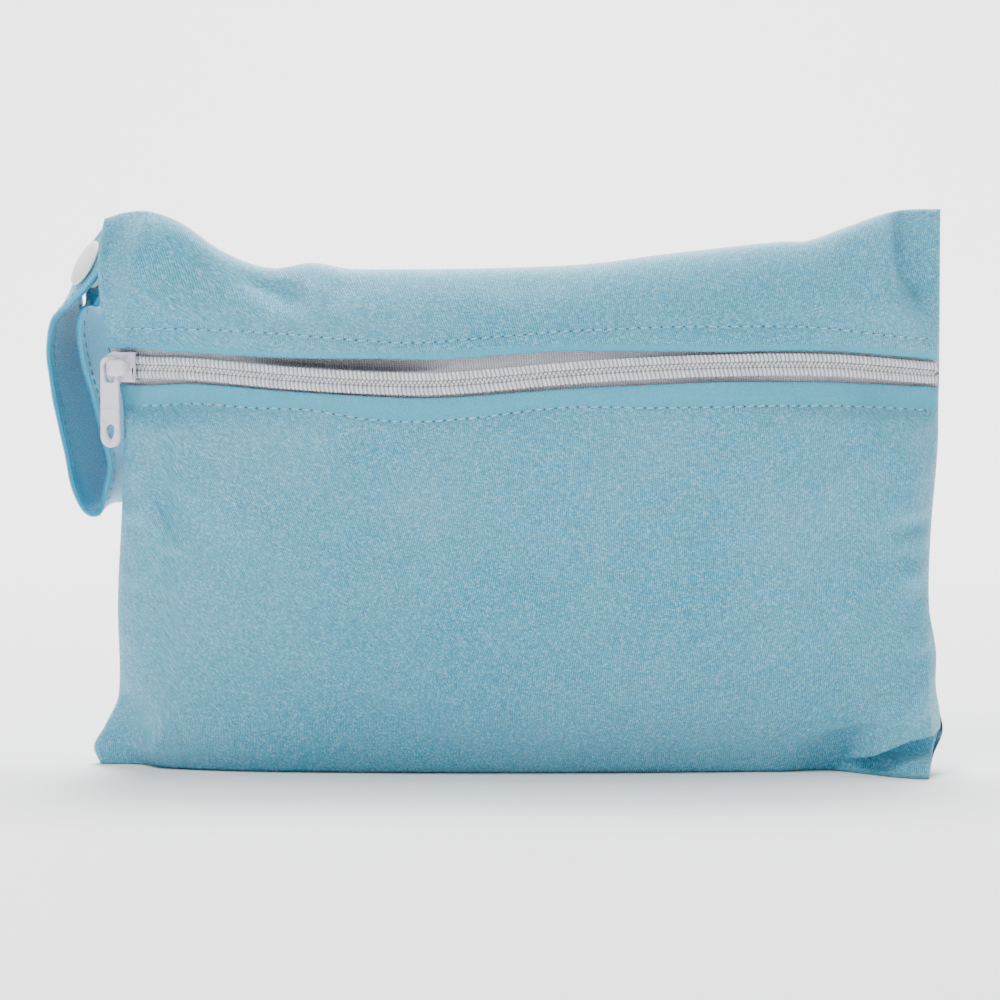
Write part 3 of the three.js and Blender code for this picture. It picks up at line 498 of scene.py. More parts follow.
def panel(name, face, start_turn, end_turn, rows, columns, crowding, stitch=None, side=None):
    """A cloth panel with its folds, hem and stitch groove; a zip edge, if it has one, is at the last row."""
    a = share_columns(columns)[None, :].repeat(rows + 1, 0)
    share = (np.arange(rows + 1) / rows)[:, None] ** crowding
    p = cloth_at(face, a, start_turn(a) * (1 - share) + end_turn(a) * share)[0]
    normal = unit(np.cross(np.gradient(p, axis=1), np.gradient(p, axis=0)))
    if ((p - BAG_MIDDLE) * normal).sum(-1).mean() < 0:
        normal = -normal
    x, z = p[..., 0], p[..., 2]
    distance = np.minimum(a, 1 - a) * BAG_WIDTH
    detail = creases(a, p, face, distance)
    zone = np.full(a.shape, NO_HEM)
    if stitch is not None:
        off = (z - zip_height(a)) * (1 if side == "above" else -1) - zip_edge(a, side)
        at = follow(stitch, 1, a)
        zone = off - (at if side == "below" else SATIN_ABOVE)
        detail = detail + stitched(x, off, at, distance)
    lift = np.where(z < 0.02, 0, smooth(0, 2.5, z)) * smooth(0, 5, top_of(a) - z)
    p = p + normal * (detail * lift)[..., None]
    if name == "cloth_front_lower":
        p = overhang(p)
    if name == "cloth_back":
        p[..., 0] += FLAP_OUT * smooth(0.96, 1, a) * np.exp(-(((p[..., 2] - FLAP_UP) / FLAP_HALF) ** 2))
    p[..., 2] = np.maximum(p[..., 2], 0)
    whole = p
    if stitch is not None:
        whole = np.concatenate([p, hem(p, normal)])
        zone = np.concatenate([zone, np.repeat(zone[-1:], len(whole) - len(p), 0)])
    faces = grid_faces(len(whole), columns + 1)
    knit_places = knit_map(whole, face).reshape(-1, 2)
    made = mesh_object(name, whole.reshape(-1, 3), faces, knit_places, zone=zone.ravel())
    return outward(made, BAG_MIDDLE), (a[0], p)


def lower_edge(a):
    return turn_at(a, zip_height(a) - zip_edge(a, "below") - HEM_ROLL)


def upper_edge(a):
    return turn_at(a, zip_height(a) + zip_edge(a, "above") + HEM_ROLL)


def front_base(a):
    return -base_seam_turn(a)


front_lower, lower_grid = panel(
    "cloth_front_lower", "front", front_base, lower_edge, 190, 300, 1.15, LOWER_STITCH, "below"
)
front_upper, upper_grid = panel(
    "cloth_front_upper", "front", np.ones_like, upper_edge, 90, 300, 1.5, UPPER_STITCH, "above"
)
back = panel("cloth_back", "back", base_seam_turn, np.ones_like, 200, 300, 1.1)[0]


# Stitches


def on_cloth(grid, a, z):
    """A place on a finished panel and its outward direction, at a share across and a height near the zip."""
    shares, points = grid
    c = min(max(int(np.searchsorted(shares, a)) - 1, 0), len(shares) - 2)
    w = (a - shares[c]) / (shares[c + 1] - shares[c])
    column = points[:, c] * (1 - w) + points[:, c + 1] * w
    left, right = points[:, max(c - 1, 0)], points[:, min(c + 2, len(shares) - 1)]
    heights = column[:, 2]
    rows = np.arange(len(heights) // 3, len(heights))
    sign = 1 if heights[-1] > heights[rows[0]] else -1
    at = float(np.interp(sign * z, sign * heights[rows], rows))
    i = min(int(at), len(heights) - 2)
    place = column[i] * (1 - at + i) + column[i + 1] * (at - i)
    out = unit(np.cross(right[i] - left[i], column[i + 1] - column[i]))
    return place, out if out[1] < 0 else -out


def stitch_row(stitch, side, name, grid):
    """The stitches along one edge of the zip, and dark beads of painted shade in their needle holes."""
    thread, holes = Parts(), Parts()
    sign = 1 if side == "above" else -1
    count = int(BAG_WIDTH / STITCH_PITCH) - 1
    middle_x = (np.arange(count) + 0.5) * STITCH_PITCH - count * STITCH_PITCH / 2
    middle_x = middle_x - np.mod(middle_x[0], STITCH_PITCH) + STITCH_PITCH / 2
    left, right = left_x(0.72), right_x(0.72)
    ends = np.array([-0.3, 0, 0.3, 0.5]) * STITCH_PITCH
    for k, x in enumerate(middle_x):
        a = (x + ends - left) / (right - left)
        if a[0] < 0.006 or a[-1] > 0.996:
            continue
        height = zip_height(a) + sign * (zip_edge(a, side) + follow(stitch, 1, a))
        places = [on_cloth(grid, float(b), float(h)) for b, h in zip(a, height)]
        along = unit(places[2][0] - places[0][0])
        out = places[1][1]
        up = unit(np.cross(out, along))
        along = unit(along + up * (0.1 + 0.05 * math.sin(3.1 * k)))
        up = unit(np.cross(out, along))
        middle = (places[0][0] + places[2][0] + 2 * places[1][0]) / 4
        bead(thread, middle + out * 0.06, (along * 0.86, up * 0.22, out * 0.2))
        hole, hole_out = places[3]
        # A dark bead sunk at the needle hole: painted shade in the hole.
        bead(holes, hole - hole_out * 0.01, (along * 0.34, up * 0.28, hole_out * 0.1), 4, 6)
    return thread.object("stitches_" + name), holes.object("needle_hole_shades_" + name)


stitches_lower, hole_shade_lower = stitch_row(LOWER_STITCH, "below", "lower", lower_grid)
stitches_upper, hole_shade_upper = stitch_row(UPPER_STITCH, "above", "upper", upper_grid)


# Zip


def across_at(distance):
    return distance / BAG_WIDTH


def at1(a, rise, depth):
    return zip_point(np.array([a]), np.array([rise]), np.array([depth]))[0]


slider_middle = across_at(SLIDER_INSET)
slider_origin = at1(slider_middle, 0.0, TAPE_DEPTH)
slider_along = unit(at1(slider_middle + across_at(SLIDER_LENGTH / 2), 0.0, TAPE_DEPTH) - slider_origin)
slider_up = unit(np.array([0, 0, 1.0]) - slider_along * slider_along[2])
slider_out = np.cross(slider_along, slider_up)
BRIDGE_LENGTH, BRIDGE_START = 1.2, -0.26 * SLIDER_LENGTH
zip_start = slider_middle + across_at(BRIDGE_START + BRIDGE_LENGTH + 1.5 * GAP) * slider_along[0]
zip_end = 1 - across_at(ZIP_END_INSET)


def tape(side, name):
    sign = 1 if side == "above" else -1
    a = np.concatenate([np.linspace(0.0015, zip_start, 12)[:-1], share_columns(260, zip_start, 0.9992)])
    inner = GAP / 2 + 0.65 * (1 - smooth(zip_start - 0.002, zip_start, a))
    hollow = 4.2 * np.exp(-(((a - 0.285) / 0.1) ** 4)) if side == "above" else 0 * a
    layers = []
    for depth in (TAPE_DEPTH, TAPE_DEPTH + 0.7 * TAPE):
        rows = []
        for s in np.linspace(0, 1, 15):
            rise = inner + (zip_edge(a, side) + TAPE_TUCK - inner) * s
            dip = hollow * smooth(COIL_WIDTH + 0.1, COIL_WIDTH + 1.6, rise)
            rows.append(zip_point(a, sign * rise, depth + dip))
        layers.append(np.array(rows))
    front, rear = layers
    ring = np.concatenate([front, rear[::-1]])
    uv = np.stack([np.broadcast_to(a * BAG_WIDTH, ring.shape[:2]), ring[..., 2]], -1)
    rows, columns = ring.shape[:2]
    faces = grid_faces(rows, columns)
    faces += [[(rows - 1) * columns + c, (rows - 1) * columns + c + 1, c + 1, c] for c in range(columns - 1)]
    for c in (0, columns - 1):
        loop = [r * columns + c for r in range(rows)]
        faces.append(loop if c else loop[::-1])
    made = mesh_object(name, ring.reshape(-1, 3), faces, uv.reshape(-1, 2), shade_smooth=False)
    return fix_normals(made)


tape_lower, tape_upper = tape("below", "zip_tape_below"), tape("above", "zip_tape_above")

line_a = np.linspace(zip_start, zip_end, 700)
line = zip_point(line_a, 0 * line_a, TAPE_DEPTH + 0 * line_a)
line_s = lengths_of(line)
line_out = -unit(inward("front", line_a, turn_at(line_a, zip_height(line_a))))


def on_line(s, values):
    return np.stack([np.interp(s, line_s, values[:, k]) for k in range(3)], -1)


def coil(sign, name):
    """One row of the zip's coil: a ribbed cord, and its heads, which hook into the other row's."""
    pitch, samples, sides = 1.06, 8, 20
    turns = int(line_s[-1] / pitch)
    s = np.linspace(0.0, line_s[-1], turns * samples + 1)
    angle = 2 * np.pi * np.arange(sides) / sides
    c, h = np.cos(angle), np.sin(angle)
    square = lambda v, power: np.sign(v) * np.abs(v) ** power
    at = s[:, None] + 0.22 * sign * c[None, :] + (pitch / 2 if sign > 0 else 0)
    rib = np.abs(np.sin(np.pi * at / pitch)) ** 1.1
    wide, high = 1.05 - 0.2 * (1 - rib), 0.86 - 0.34 * (1 - rib)
    middle, out = on_line(s, line), unit(on_line(s, line_out))
    along = unit(np.gradient(middle, axis=0))
    up = np.cross(out, along)
    ring = (
        middle[:, None]
        + up[:, None] * (sign * (1.72 + wide * square(c, 0.9)))[..., None]
        + out[:, None] * (GAP + COIL_HEIGHT / 2 + high * square(h, 0.85))[..., None]
    )
    parts = Parts()
    # The rib's share goes to the zone map, where the grooves between windings take painted shade.
    parts.add(ring, closed_faces(len(s), sides), rib.ravel())
    heads = np.arange(0.4, line_s[-1] - 0.3, pitch) + (pitch / 2 if sign > 0 else 0)
    middle, out = on_line(heads, line), unit(on_line(heads, line_out))
    along = unit(on_line(heads + 0.1, line) - on_line(heads - 0.1, line))
    for m, o, t in zip(middle, out, along):
        u = np.cross(o, t)
        head = m + u * (sign * 0.3) + o * (GAP + COIL_HEIGHT / 2 + 0.16)
        bead(parts, head, (t * 0.4, u * 0.4, o * 0.42), 5, 8)
    core = np.linspace(0.1, line_s[-1] - 0.1, 260)
    middle, out = on_line(core, line), unit(on_line(core, line_out))
    up = np.cross(out, unit(np.gradient(middle, axis=0)))
    # The core, at 0.1 in the zone map, takes the same painted shade between the rows.
    tube(parts, middle + up * (sign * 0.45) + out * (GAP + COIL_HEIGHT / 2 - 0.12), up, 0.42, 8, 0.1)
    return fix_normals(parts.object(name))


coil_lower, coil_upper = coil(-1, "zip_coil_below"), coil(1, "zip_coil_above")


def to_slider(points):
    p = np.asarray(points, float)
    return slider_origin + p[..., 0:1] * slider_along + p[..., 1:2] * slider_up + p[..., 2:3] * slider_out


def rounded_plate(parts, outline, holes, low, high, bevel, place, steps=4):
    """A plate with rounded edges between two heights, from an outline and holes as lists of points."""
    curve = bpy.data.curves.new("outline", "CURVE")
    curve.dimensions = "2D"
    curve.fill_mode = "BOTH"
    curve.extrude = (high - low) / 2 - bevel
    curve.bevel_depth = bevel
    curve.bevel_resolution = steps
    curve.offset = -bevel
    for points in [outline, *holes]:
        spline = curve.splines.new("POLY")
        spline.points.add(len(points) - 1)
        for point, (x, y) in zip(spline.points, points):
            point.co = (x, y, 0, 1)
        spline.use_cyclic_u = True
    holder = bpy.data.objects.new("outline", curve)
    bpy.context.scene.collection.objects.link(holder)
    bpy.context.view_layer.update()
    mesh = bpy.data.meshes.new_from_object(holder)
    p = np.array([v.co for v in mesh.vertices], float)
    p[:, 2] += (low + high) / 2
    parts.add(place(p), [list(f.vertices) for f in mesh.polygons])
    bpy.data.objects.remove(holder)
    bpy.data.curves.remove(curve)
    bpy.data.meshes.remove(mesh)


def arc(cx, cy, r, start, end, steps=12):
    return [(cx + r * math.cos(t), cy + r * math.sin(t)) for t in np.linspace(start, end, steps)]


def bend(start, through, end, steps=8):
    """A curve between two points that leans towards a third."""
    start, through, end = (np.array(p, float) for p in (start, through, end))
    shares = np.linspace(0, 1, steps)
    return [tuple((1 - t) ** 2 * start + 2 * t * (1 - t) * through + t * t * end) for t in shares]


def rounded(points, radius):
    """An outline with its corners rounded."""
    made = []
    for i, here in enumerate(points):
        here = np.array(here, float)
        u, v = (np.array(points[j % len(points)], float) - here for j in (i - 1, i + 1))
        lu, lv = np.linalg.norm(u), np.linalg.norm(v)
        r = min(radius, 0.45 * lu, 0.45 * lv)
        made += bend(here + u / lu * r, here, here + v / lv * r, 5)
    return made


def box_outline(x0, x1, y0, y1, radius):
    return rounded([(x0, y0), (x1, y0), (x1, y1), (x0, y1)], radius)


PLATE_LOW = 2 * GAP + COIL_HEIGHT
PLATE_HIGH = PLATE_LOW + SLIDER_PLATE
WINDOW_HIGH = PLATE_HIGH + PULL_THICKNESS + 2 * PULL_CLEARANCE
CROWN_HIGH = WINDOW_HIGH + CROWN_THICKNESS
BACK_HIGH = -TAPE - GAP
BACK_LOW = BACK_HIGH - SLIDER_PLATE
LIP_INSIDE = GAP / 2 + COIL_WIDTH + GAP
LEG_X = -CROWN_LENGTH / 2 + CROWN_LEG_LENGTH / 2


def slider_outline(start):
    half, end = SLIDER_WIDTH / 2, SLIDER_LENGTH / 2
    side = [
        (start, 0.62 * half), (start + 0.12 * SLIDER_LENGTH, 0.93 * half), (start + 0.3 * SLIDER_LENGTH, half),
        (0.5 * end, 0.86 * half), (0.8 * end, 0.86 * half), (end, 0.98 * half),
    ]
    return rounded([(x, -y) for x, y in side] + side[::-1], 0.55)


def crown(parts, sides=20):
    """One arched bar, round at its edges, wide on top and narrow down its two legs."""
    long, leg = CROWN_LENGTH / 2, CROWN_LEG_LENGTH
    mid = (WINDOW_HIGH + CROWN_HIGH) / 2
    foot, shoulder = -long + leg / 2, WINDOW_HIGH - 0.45
    turns = np.linspace(0.3, math.pi / 2, 5)
    path = [(foot, PLATE_HIGH - 0.35), (foot, PLATE_HIGH + 0.6), (foot, shoulder)]
    path += [(foot + 0.75 * (1 - math.cos(f)), shoulder + (mid - shoulder) * math.sin(f)) for f in turns]
    path = path + [(0.0, mid + 0.06)] + [(-x, z) for x, z in path[::-1]]
    around = np.linspace(0, 2 * np.pi, sides, endpoint=False)
    rings = []
    for i, (x, z) in enumerate(path):
        before, after = path[max(i - 1, 0)], path[min(i + 1, len(path) - 1)]
        d = unit(np.array([after[0] - before[0], after[1] - before[1]]))
        rising = float(smooth(WINDOW_HIGH - 0.8, mid, z))
        wide = (CROWN_LEG_WIDTH + (CROWN_WIDTH - CROWN_LEG_WIDTH) * rising) / 2
        wide *= 1 - 0.22 * rising * (abs(x) / long) ** 2
        thick = (leg * (1 - rising) + CROWN_THICKNESS * rising) / 2
        ring = []
        for f in around:
            cy = math.copysign(abs(math.cos(f)) ** 0.55, math.cos(f)) * wide
            cn = math.copysign(abs(math.sin(f)) ** 0.7, math.sin(f)) * thick
            ring.append((x - d[1] * cn, cy, z + d[0] * cn))
        rings.append(ring)
    parts.add(to_slider(np.array(rings)), closed_faces(len(path), sides))


def slider():
    """Two plates joined by a bridge, with side lips, the crown and a small rivet head on it."""
    parts = Parts()
    rounded_plate(parts, slider_outline(-SLIDER_LENGTH / 2), [], PLATE_LOW, PLATE_HIGH, 0.3, to_slider)
    rounded_plate(parts, slider_outline(BRIDGE_START), [], BACK_LOW, BACK_HIGH, 0.25, to_slider)
    half = BRIDGE_LENGTH / 2
    post = box_outline(BRIDGE_START + 0.1, BRIDGE_START + BRIDGE_LENGTH, -half, half, 0.25)
    rounded_plate(parts, post, [], BACK_HIGH - 0.4, PLATE_LOW + 0.4, 0.05, to_slider, 1)
    for side in (-1, 1):
        low, high = sorted((side * LIP_INSIDE, side * 0.95 * SLIDER_WIDTH / 2))
        lip = box_outline(BRIDGE_START, 0.88 * SLIDER_LENGTH / 2, low, high, 0.3)
        rounded_plate(parts, lip, [], GAP, PLATE_LOW + 0.5, 0.2, to_slider, 2)
    crown(parts)
    centre = to_slider(np.array([0.0, 0.0, CROWN_HIGH - 0.02]))
    bead(parts, centre, (slider_out * 0.12, slider_along * 0.45, slider_up * 0.45), 6, 12)
    return fix_normals(parts.object("zip_slider"))


slider_piece = slider()


def to_pull(points):
    return to_slider(np.asarray(points) + np.array([LEG_X, 0, 0]))


def pull():
    """The tab with its eye and its drop-shaped hole, and a grip that stands a little higher than the shank."""
    half = PULL_WIDTH / 2
    leg_round = math.hypot(CROWN_LEG_WIDTH, CROWN_LEG_LENGTH) / 2 + PULL_CLEARANCE
    top = leg_round + PULL_BAR
    bottom = top - PULL_LENGTH
    shoulder, shoulder_y = 0.62 * half, top - 0.62 * half
    outline = arc(0, bottom + half, half, math.pi, 2 * math.pi, 24)
    outline += arc(0.28 * half, shoulder_y, shoulder, 0, math.pi / 2, 10)
    outline += arc(-0.28 * half, shoulder_y, shoulder, math.pi / 2, math.pi, 10)
    eye_half = max(PULL_EYE_WIDTH / 2, leg_round)
    eye_low = top - PULL_BAR - PULL_EYE_LENGTH
    eye_side = eye_low + 0.3 * eye_half
    eye = arc(0, 0, eye_half, 0, math.pi, 14)
    eye += [(-0.8 * eye_half, eye_side), (-0.5 * eye_half, eye_low)]
    eye += [(0.5 * eye_half, eye_low), (0.8 * eye_half, eye_side)]
    hole_half = 0.42 * half
    hole_top = bottom + 1.08 * PULL_WIDTH
    round_y, belly, tip = hole_top - hole_half, bottom + 0.55 * PULL_WIDTH, bottom + 0.3 * PULL_WIDTH
    hole = bend((0, tip), (hole_half, belly), (hole_half, round_y))
    hole += arc(0, round_y, hole_half, 0, math.pi, 10)[1:]
    hole += bend((-hole_half, round_y), (-hole_half, belly), (0, tip))[1:-1]
    low = PLATE_HIGH + PULL_CLEARANCE
    high = low + PULL_THICKNESS
    parts = Parts()
    rounded_plate(parts, outline, [eye[::-1], hole[::-1]], low, high - 0.1, 0.28, to_pull)
    grip_top = bottom + 0.42 * PULL_LENGTH - 0.4
    grip_half = half - 0.22
    grip = arc(0, bottom + half, grip_half, math.pi, 2 * math.pi, 22)
    grip += arc(0, grip_top, grip_half, 0, math.pi, 14)
    grip = [(x, y if y < grip_top else grip_top + 0.35 * (y - grip_top)) for x, y in grip]
    hole_middle = hole_top - 2.2
    wider = [(x * 1.3, (y - hole_middle) * 1.14 + hole_middle) for x, y in hole[::-1]]
    rounded_plate(parts, grip, [wider], high - 0.4, high + 0.02, 0.16, to_pull, 3)
    return fix_normals(parts.object("zip_pull"))


pull_piece = pull()


# Strap and snap

snap_up = np.array([SNAP_HEIGHT / BAG_HEIGHT])
strap_edge = float(left_x(snap_up)[0]) - GAP
strap_back = float(lean(0 * snap_up, snap_up)[0]) + STRAP_BEHIND


def cross_direction(turn, tip):
    a, b = math.radians(turn), math.radians(tip)
    return np.array([math.sin(a) * math.cos(b), math.cos(a) * math.cos(b), math.sin(b)])


def strap_place(out, down, behind):
    x, y = strap_edge - out * STRAP_REACH, strap_back + behind * STRAP_WIDTH
    return np.array([x, y, SNAP_HEIGHT - down * STRAP_DROP])


strap_middle = [strap_place(*row[:3]) for row in STRAP_PATH]
strap_cross = [cross_direction(*row[3:]) for row in STRAP_PATH]


def curve_point(points, share):
    """The uniform curve through points, at a share of its rows."""
    n = len(points) - 1
    at = min(max(share * n, 0), n)
    i = min(int(math.floor(at)), n - 1)
    t = at - i
    p1, p2 = points[i], points[i + 1]
    p0 = points[i - 1] if i > 0 else 2 * points[0] - points[1]
    p3 = points[i + 2] if i + 2 <= n else 2 * points[n] - points[n - 1]
    m1, m2 = (p2 - p0) / 2, (p3 - p1) / 2
    return (2 * p1 - 2 * p2 + m1 + m2) * t**3 + (-3 * p1 + 3 * p2 - 2 * m1 - m2) * t**2 + m1 * t + p1


def strap_frame(share):
    """The middle of the strap at a share of its rows, and its directions along, across and out."""
    step = 1e-4
    middle = curve_point(strap_middle, share)
    ahead, behind = min(share + step, 1), max(share - step, 0)
    along = unit(curve_point(strap_middle, ahead) - curve_point(strap_middle, behind))
    across = curve_point(strap_cross, share)
    across = unit(across - along * across.dot(along))
    return middle, along, across, np.cross(across, along)


snap = strap_frame(SNAP_ROW / (len(STRAP_PATH) - 1))
for lay in STRAP_END_LAYS:
    strap_middle.append(snap[0] + snap[3] * (-STRAP_THICKNESS - SNAP_STACK) + snap[1] * (lay * STRAP_WIDTH))
    strap_cross.append(snap[2].copy())

strap_shares = np.arange(401) / 400
strap_lengths = lengths_of(np.array([strap_frame(share)[0] for share in strap_shares]))
strap_length = float(strap_lengths[-1])
snap_length = float(np.interp(SNAP_ROW / (len(strap_middle) - 1), strap_shares, strap_lengths))


def strap_half_thickness(b):
    w = STRAP_WIDTH / 2
    edge = np.clip((np.abs(b) - (w - 0.95)) / 0.95, 0, 1)
    groove = np.exp(-(((np.abs(b) - (w - STRAP_STITCH_IN)) / 0.6) ** 2))
    return (STRAP_THICKNESS / 2 - 0.14 * groove - 0.05) * np.sqrt(1 - edge**2)


def strap():
    """The folded strap as one closed band, with soft waves where it is free."""
    half = STRAP_WIDTH / 2
    b = half * np.sin(np.linspace(-np.pi / 2, np.pi / 2, 25))
    thick = strap_half_thickness(b)
    around_b = np.concatenate([b, b[::-1][1:-1]])
    around_t = np.concatenate([thick, -thick[::-1][1:-1]])
    frames = [strap_frame(i / STRAP_STEPS) for i in range(STRAP_STEPS + 1)]
    lengths = lengths_of(np.array([middle for middle, _, _, _ in frames]))
    rings = []
    for (middle, _, across, out), length in zip(frames, lengths):
        wave = 0.16 * math.sin(length / 3.1) + 0.1 * math.sin(length / 1.7 + 2)
        bow = 0.35 * (1 - (around_b / half) ** 2) * math.sin(length / 24)
        free = smooth(0, 8, length) * smooth(0, 22, strap_length - length)
        free *= smooth(4, 14, abs(length - snap_length))
        lift = (bow + wave * (np.abs(around_b) / half) ** 3 * 0.6) * free
        rings.append(middle + across * around_b[:, None] + out * (around_t + lift)[:, None])
    points = np.array(rings)
    u, v = np.broadcast_arrays(around_b, lengths[:, None])
    # Which face of the band each point is on: the inner face, at -1, takes the strap knit's painted shade.
    side = np.broadcast_to(np.where(around_t > 0, 1.0, -1.0), u.shape).ravel()
    faces = closed_faces(*u.shape)
    uv = np.stack([u, v], -1).reshape(-1, 2)
    return fix_normals(mesh_object("strap_loop", points.reshape(-1, 3), faces, uv, zone=side))


strap_piece = strap()


def strap_stitches():
    """The stitches along both edges and faces of the strap, left out where the snap and its ends lie."""
    parts = Parts()
    for place in (-1, 1):
        b = place * (STRAP_WIDTH / 2 - STRAP_STITCH_IN)
        for face in (-1, 1):
            surface = face * float(strap_half_thickness(np.array([b]))[0])
            for s in np.arange(1.5, strap_length - 1.5, STRAP_STITCH_PITCH):
                if abs(s - snap_length) < 4.2 or strap_length - s < 10.5 and face > 0:
                    continue
                middle, along, across, out = strap_frame(float(np.interp(s, strap_lengths, strap_shares)))
                axes = (along * 0.85, across * 0.2, out * 0.17)
                bead(parts, middle + across * b + out * surface, axes, 4, 6)
    return parts.object("strap_stitches")


strap_thread = strap_stitches()


def turned(name, profile, height, sides=64):
    """A turned piece on the snap's axis, its foot at a height over the strap's middle."""
    middle, along, across, out = snap
    foot = middle + out * height
    angle = 2 * np.pi * np.arange(sides) / sides
    circle = np.cos(angle)[:, None] * along + np.sin(angle)[:, None] * across
    points = np.array([foot + out * h + r * circle for r, h in profile])
    return fix_normals(mesh_object(name, points.reshape(-1, 3), closed_faces(len(profile), sides)))


def cap_profile():
    r, h = SNAP_CAP_DIAMETER / 2, SNAP_CAP_HEIGHT
    profile = [(0.5 * r, 0.0), (0.9 * r, 0.0), (0.96 * r, 0.04 * h), (0.99 * r, 0.14 * h)]
    for f in np.linspace(0.0, math.pi / 2, 16)[:-1]:
        profile.append((r * math.cos(f) ** 0.8, h * (0.3 + 0.7 * math.sin(f))))
    profile.append((0.02 * r, h))
    return profile


def socket_profile():
    r, h = SNAP_CORE_DIAMETER / 2, SNAP_STACK - 2 * GAP
    shares = [
        (0.3, 0.0), (0.9, 0.0), (0.97, 0.07), (1.0, 0.2), (1.0, 0.5), (0.95, 0.6), (0.78, 0.66), (0.74, 0.92),
        (0.7, 1.0), (0.3, 1.0),
    ]
    return [(out * r, up * h) for out, up in shares]


cap_foot = STRAP_THICKNESS / 2 + GAP
cap_piece = turned("snap_button", cap_profile(), cap_foot)
inner_profile = [(r, -h) for r, h in cap_profile()]
back_cap_piece = turned("snap_button_inner", inner_profile, -STRAP_THICKNESS - SNAP_STACK - cap_foot)
core_piece = turned("snap_socket", socket_profile(), -STRAP_THICKNESS / 2 - SNAP_STACK + GAP)


# Materials


class Nodes:
    def __init__(self, name):
        self.material = bpy.data.materials.new(name)
        self.material.use_nodes = True
        self.tree = self.material.node_tree
        self.shader = next(n for n in self.tree.nodes if n.type == "BSDF_PRINCIPLED")

    def new(self, kind, inputs=None, **settings):
        node = self.tree.nodes.new(kind)
        for key, value in settings.items():
            setattr(node, key, value)
        for key, value in (inputs or {}).items():
            if isinstance(value, bpy.types.NodeSocket):
                self.tree.links.new(value, node.inputs[key])
            else:
                node.inputs[key].default_value = value
        return node

    def math(self, operation, a, b=0.0):
        return self.new("ShaderNodeMath", {0: a, 1: b}, operation=operation).outputs[0]

    def mix(self, factor, a, b):
        return self.new("ShaderNodeMix", {0: factor, 6: a, 7: b}, data_type="RGBA").outputs[2]

    def noise(self, vector, scale, detail=2.0, rough=0.5):
        inputs = {"Vector": vector, "Scale": scale, "Detail": detail, "Roughness": rough}
        return self.new("ShaderNodeTexNoise", inputs).outputs[0]

    def space(self):
        return self.new("ShaderNodeTexCoord").outputs["Object"]

    def uv(self, name):
        return self.new("ShaderNodeUVMap", uv_map=name).outputs[0]

    def split(self, vector):
        return self.new("ShaderNodeSeparateXYZ", {0: vector}).outputs

    def ramp(self, value, low, high):
        return self.new("ShaderNodeMapRange", {"Value": value, "From Min": low, "From Max": high}).outputs[0]

    def link(self, socket, key):
        self.tree.links.new(socket, self.shader.inputs[key])

    def bump(self, height, distance, strength):
        inputs = {"Height": height, "Distance": distance, "Strength": strength}
        return self.new("ShaderNodeBump", inputs).outputs[0]

    def set(self, **values):
        for key, value in values.items():
            self.shader.inputs[key.replace("_", " ")].default_value = value


def rgb(r, g, b):
    """Linear colour from eight-bit display values."""
    shares = (r / 255, g / 255, b / 255)
    return tuple(c / 12.92 if c <= 0.04045 else ((c + 0.055) / 1.055) ** 2.4 for c in shares) + (1.0,)


def knit(name, base, light, deep, wale, contrast, sheen, hem):
    """Knitted cloth: wales and loops of a size in millimetres, painted glints on some single loops and painted
    shade on others, and a smooth hem band, which on the strap is painted shade over its inner face.
    """
    n = Nodes(name)
    uv = n.uv("cloth_mm")
    u, v, _ = n.split(uv)
    wander = n.noise(uv, 0.35, 2)
    shifted = n.math("ADD", u, n.math("MULTIPLY", wander, 0.5))
    across = n.math("SINE", n.math("MULTIPLY", shifted, 2 * math.pi / wale))
    row = n.math("MULTIPLY", v, 2 * math.pi / (wale * 0.8))
    loops = n.math("SINE", n.math("ADD", row, n.math("MULTIPLY", across, 1.4)))
    height = n.math("ADD", n.math("MULTIPLY", across, 0.6), n.math("MULTIPLY", loops, 0.3))
    fleck = n.noise(uv, 2.6, 2, 0.6)
    loop_u = n.math("FLOOR", n.math("DIVIDE", shifted, wale))
    loop_v = n.math("FLOOR", n.math("DIVIDE", v, wale * 0.8))
    loop = n.new("ShaderNodeCombineXYZ", {0: loop_u, 1: loop_v}).outputs[0]
    glint = n.new("ShaderNodeTexWhiteNoise", {"Vector": loop}, noise_dimensions="2D").outputs[0]
    glint = n.math("ADD", n.math("MULTIPLY", glint, 0.8), n.math("MULTIPLY", fleck, 0.4))
    # Painted glints: single loops lightened towards the light colour.
    painted_glint = n.ramp(glint, 0.76, 1.05)
    # Painted shade: other single loops darkened towards the deep colour, as in the knit's pinholes.
    dark = n.ramp(glint, 0.46, 0.26)
    cloud = n.ramp(n.noise(n.space(), 28.0, 3), 0.35, 0.68)
    tone = n.mix(n.ramp(height, -0.95, 0.75), deep, base)
    tone = n.mix(n.math("MULTIPLY", painted_glint, 0.4 * contrast), tone, light)
    tone = n.mix(n.math("MULTIPLY", dark, 0.5 * contrast), tone, deep)
    tone = n.mix(n.math("MULTIPLY", cloud, 0.1), tone, light)
    # The hem band: the satin hem's colour on the panels, and painted shade over the strap's inner face.
    satin_and_shade = n.math("MULTIPLY", n.ramp(n.split(n.uv("zone"))[0], 0.1, -0.7), 0.85)
    tone = n.mix(satin_and_shade, tone, hem)
    n.link(tone, "Base Color")
    total = n.math("ADD", height, n.math("MULTIPLY", fleck, 1.2))
    n.link(n.bump(total, 0.00013, 0.8), "Normal")
    n.link(n.ramp(fleck, 0.2, 1.4), "Roughness")
    n.set(Roughness=0.75, Sheen_Weight=sheen, Sheen_Roughness=0.45)
    n.set(Sheen_Tint=rgb(215, 238, 246), Specular_IOR_Level=0.3)
    return n.material


